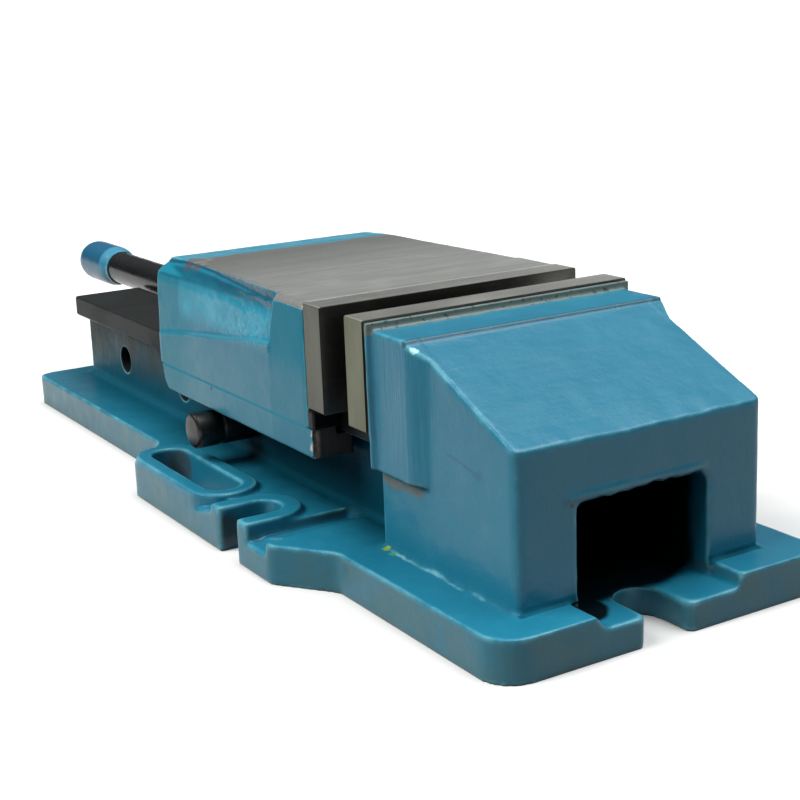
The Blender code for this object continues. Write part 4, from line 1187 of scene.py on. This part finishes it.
def spring(node, body, x0, x1, turns, mean_r, wire_r, steps=44, sides=14):
    bm = bmesh.new()
    rings = []
    count = int(turns * steps)
    for k in range(count + 1):
        t = k / count
        a = 2 * math.pi * turns * t
        px = x0 + wire_r + (x1 - x0 - 2 * wire_r) * t
        radial = Vector((0.0, math.cos(a), math.sin(a)))
        mid = Vector((px + SHIFT, 0.0, AXIS_Z)) + radial * mean_r
        rings.append([bm.verts.new((mid + radial * (wire_r * math.cos(b)) + Vector((1, 0, 0))
                                    * (wire_r * math.sin(b))) * MM)
                      for b in (2 * math.pi * s / sides for s in range(sides))])
    for a, b in zip(rings, rings[1:]):
        for i in range(sides):
            j = (i + 1) % sides
            bm.faces.new((a[i], a[j], b[j], b[i]))
    bm.faces.new(rings[0])
    bm.faces.new(list(reversed(rings[-1])))
    bmesh.ops.recalc_face_normals(bm, faces=bm.faces)
    if bm.calc_volume(signed=True) < 0:
        bmesh.ops.reverse_faces(bm, faces=bm.faces)
    mesh = bpy.data.meshes.new(node + "_wire")
    bm.to_mesh(mesh)
    bm.free()
    obj = bpy.data.objects.new(node + "_wire", mesh)
    collection.objects.link(obj)
    return finish_turned(obj, body, SPRING, "spring_steel", node)


def make_spindle():
    """Black tube with a cut screw thread on its front half."""
    tube_r, screw_r, root_r, pitch = 12.2, 9.6, 8.1, 5.0
    x_thread = (-212.0, -66.0)
    seg = 72
    # outer profile up to the thread, thread as a helical surface, then the bore
    outer = [(-516.0, 9.8), (-516.0, 11.1), (-515.7, 11.4), (-496.2, 11.4), (-496.0, 11.7),
             (-496.0, tube_r - 0.5), (-495.5, tube_r), (-470.0, tube_r), (-430.0, tube_r),
             (-360.0, tube_r), (-300.0, tube_r), (-243.2, tube_r), (-242.0, tube_r - 0.8),
             (-241.3, tube_r - 1.6), (-241.3, screw_r + 0.2), (-241.2, screw_r), (-225.0, screw_r)]
    step = pitch / 20.0
    count = int(round((x_thread[1] - x_thread[0]) / step))
    rings = []
    bm = bmesh.new()

    def ring(values):
        out = []
        for k, (w, r) in enumerate(values):
            a = 2 * math.pi * k / seg
            out.append(bm.verts.new((Vector((w + SHIFT, r * math.cos(a), AXIS_Z + r * math.sin(a)))) * MM))
        rings.append(out)

    for w, r in outer:
        ring([(w, r)] * seg)

    def thread_r(w, k):
        phase = ((w / pitch) - k / seg) % 1.0
        # trapezoidal flanks, fading out at both ends
        tri = abs(phase - 0.5) * 2.0
        depth = min(1.0, max(0.0, (tri - 0.32) / 0.30))
        fade = min(1.0, max(0.0, (w - x_thread[0]) / 6.0), max(0.0, (x_thread[1] - w) / 3.0) + 0.0)
        return screw_r - (screw_r - root_r) * depth * fade

    for i in range(count + 1):
        w = x_thread[0] + i * step
        ring([(w, thread_r(w, k)) for k in range(seg)])
    for w, r in ((-64.6, screw_r), (-63.4, screw_r - 1.4), (-63.4, 4.7), (-63.1, 4.4)[0:2], (-262.0, 4.4),
                 (-262.0, 9.8)):
        ring([(w, r)] * seg)
    for a, b in list(zip(rings, rings[1:])) + [(rings[-1], rings[0])]:
        for i in range(seg):
            j = (i + 1) % seg
            bm.faces.new((a[i], a[j], b[j], b[i]))
    bmesh.ops.recalc_face_normals(bm, faces=bm.faces)
    if bm.calc_volume(signed=True) < 0:
        bmesh.ops.reverse_faces(bm, faces=bm.faces)
    mesh = bpy.data.meshes.new("spindle_sleeve_fine")
    bm.to_mesh(mesh)
    bm.free()
    obj = bpy.data.objects.new("spindle_sleeve_fine", mesh)
    collection.objects.link(obj)
    for at in (-424.0, -315.0):
        hole = lathe("hole", [(5.0, 2.8), (20.0, 2.8)], "Y", (at, AXIS_Z), 40, ease=0.01)
        boolean(obj, hole, "DIFFERENCE")
    return finish_turned(obj, "spindle", TUBE, "black_oxide", "spindle_sleeve")


def make_collar():
    prof = [(-549.0, 8.6), (-549.0, 11.0), (-555.6, 11.0), (-556.0, 11.4), (-555.8, 12.0), (-554.6, 13.1),
            (-552.6, 14.1), (-550.0, 14.8), (-547.4, 15.25), (-544.0, 15.4), (-512.0, 15.4), (-508.0, 15.3),
            (-505.2, 14.95), (-502.4, 14.3), (-500.6, 13.6), (-499.6, 13.25), (-496.3, 13.2), (-496.3, 11.8),
            (-543.0, 11.8), (-543.0, 8.6)]
    obj = lathe("booster_collar_fine", prof, seg=120, closed=True, ease=0.3)
    return finish_turned(obj, "spindle", BLUE_COLLAR, "blue_enamel", "booster_collar")


def make_small():
    L, F = lathe, finish_turned
    F(L("spindle_bush_fine", [(-239.5, 10.0), (-239.5, 11.7), (-226.3, 11.7), (-226.3, 10.0)], closed=True),
      "moving_jaw", BRONZE, "bronze", "spindle_bush")
    F(L("thrust_pad_fine", [(-61.5, 9.5), (-60.5, 11.3), (-52.3, 11.3)]), "moving_jaw", BRIGHT,
      "tool_steel", "thrust_pad")
    F(L("spindle_nut_fine", [(-181.0, 9.9), (-181.0, 11.7), (-151.0, 11.7), (-151.0, 9.9)], closed=True),
      "bed", BRONZE, "bronze", "spindle_nut")
    F(L("retract_ring_fine", [(-224.0, 9.95), (-224.0, 12.3), (-214.0, 12.3), (-214.0, 9.95)], closed=True),
      "spindle", BRIGHT, "tool_steel", "retract_ring")
    F(L("primary_cylinder_fine", [(-398.0, 6.9), (-398.0, 9.5), (-330.0, 9.5), (-330.0, 4.3), (-391.0, 4.3),
                                  (-391.0, 6.9)], closed=True),
      "spindle", BRIGHT, "tool_steel", "primary_cylinder")
    F(L("primary_seal_fine", [(-397.0, 4.3), (-397.0, 6.6), (-391.4, 6.6), (-391.4, 4.3)], closed=True,
        ease=0.8), "spindle", RUBBER, "seal_rubber", "primary_seal")
    F(L("output_seal_fine", [(-296.0, 8.1), (-296.0, 9.55), (-292.0, 9.55), (-292.0, 8.1)], closed=True,
        ease=0.5), "output", RUBBER, "seal_rubber", "output_seal")
    F(L("output_piston_fine", [(-300.0, 8.6), (-299.0, 9.5), (-296.3, 9.5), (-296.3, 7.8), (-291.7, 7.8),
                               (-291.7, 9.5), (-288.0, 9.5)]), "output", BRIGHT, "tool_steel", "output_piston")
    F(L("push_rod_fine", [(-287.7, 4.0), (-65.0, 4.0), (-63.0, 2.6)], seg=64), "output", BRIGHT,
      "tool_steel", "push_rod")
    F(L("nut_set_screw_fine", [(96.6, 2.2), (97.4, 3.0), (107.6, 3.0)], "Z", (-166.0, 0.0), 48),
      "bed", SCREW, "black_oxide", "nut_set_screw")
    F(L("piston_key_screw_fine", [(7.4, 2.1), (11.9, 2.1)], "Y", (-424.0, AXIS_Z), 40), "spindle", SCREW,
      "black_oxide", "piston_key_screw")
    F(L("oil_fill_screw_fine", [(10.2, 2.4), (12.0, 2.4)], "Y", (-315.0, AXIS_Z), 40), "spindle", SCREW,
      "black_oxide", "oil_fill_screw")
    drive = L("drive_shaft_fine", [(-530.0, 7.4), (-520.5, 7.4), (-520.5, 11.0), (-516.4, 11.0),
                                   (-516.4, 6.0), (-446.0, 6.0), (-445.0, 4.8), (-409.0, 4.8)])
    boolean(drive, L("hexagon", [(-560.0, 7.2), (-559.0, 8.0), (-527.0, 8.0)], seg=6, ease=0.05), "UNION")
    F(drive, "drive", BRIGHT, "tool_steel", "drive_shaft")
    plunger = L("primary_piston_fine", [(-440.0, 9.4), (-407.0, 9.4), (-405.5, 4.0), (-346.0, 4.0),
                                        (-345.0, 3.2)])
    boolean(plunger, L("thread", [(-450.0, 5.1), (-408.0, 5.1)], seg=64, ease=0.01), "DIFFERENCE")
    bm = bmesh.new()
    bmesh.ops.create_cube(bm, size=1.0)
    for v in bm.verts:
        v.co = Vector(((-423.5 + SHIFT + v.co.x * 25.0), 9.45 + v.co.y * 5.1, AXIS_Z + v.co.z * 5.0)) * MM
    mesh = bpy.data.meshes.new("slot")
    bm.to_mesh(mesh)
    bm.free()
    slot = bpy.data.objects.new("slot", mesh)
    collection.objects.link(slot)
    boolean(plunger, slot, "DIFFERENCE")
    F(plunger, "primary", BRIGHT, "tool_steel", "primary_piston")
    spring("clutch_spring", "spindle", -542.4, -521.3, 4.0, 10.0, 1.1)
    spring("return_spring", "spindle", -285.8, -262.6, 5.0, 7.2, 1.1)


def make_pin():
    prof = [(-92.0, 8.6), (-91.6, 9.5), (-91.0, 10.1), (-90.2, 10.5), (-77.6, 10.5), (-77.2, 10.35),
            (-77.0, 10.1), (-77.0, 9.5), (-76.8, 9.3), (-74.7, 9.3), (-74.5, 9.5), (-74.5, 10.1),
            (-74.3, 10.35), (-73.9, 10.5), (-54.6, 10.5), (-54.2, 10.2), (-54.0, 8.45), (54.0, 8.45),
            (56.0, 6.8)]
    obj = lathe("locating_pin_fine", prof, "Y", (-166.0, 42.5), 112, ease=0.2)
    return finish_turned(obj, "pin", PIN, "pin_steel", "locating_pin")


def make_nut_block():
    obj = cad_copy("nut_block", "nut_block_fine")
    b = obj.modifiers.new("edges", "BEVEL")
    b.limit_method = "ANGLE"
    b.angle_limit = math.radians(50)
    b.width = 0.5 * MM
    b.segments = 2
    baked(obj)
    return finish_turned(obj, "bed", BRIGHT, "tool_steel", "nut_block")


make_bed()
make_jaw()
make_strip("near")
make_strip("far")
make_plate("fixed_jaw_plate", "bed")
make_plate("moving_jaw_plate", "moving_jaw")
for side, tag in ((-1, "near"), (1, "far")):
    cap_screw("fixed_plate_screw_" + tag, "bed", "X", (side * 45.0, 108.0), 10.5, 1, 8.0, 10.0, 5.0, 28.0)
    cap_screw("moving_plate_screw_" + tag, "moving_jaw", "X", (side * 45.0, 108.0), -35.7, -1, 8.0, 10.0,
              5.0, 28.0)
    for i, sx in enumerate((-70.0, -134.0, -198.0)):
        cap_screw("keep_strip_screw_%s_%d" % (tag, i + 1), "moving_jaw", "Z", (sx, side * 73.0), 60.7, 1,
                  5.2, 6.0, 3.0, 22.0)
make_pin()
make_spindle()
make_collar()
make_small()
make_nut_block()

# floor
bm = bmesh.new()
bmesh.ops.create_grid(bm, x_segments=2, y_segments=2, size=12.0)
mesh = bpy.data.meshes.new("floor")
bm.to_mesh(mesh)
bm.free()
floor = bpy.data.objects.new("floor", mesh)
collection.objects.link(floor)
mesh.materials.append(FLOOR)
floor.visible_diffuse = False
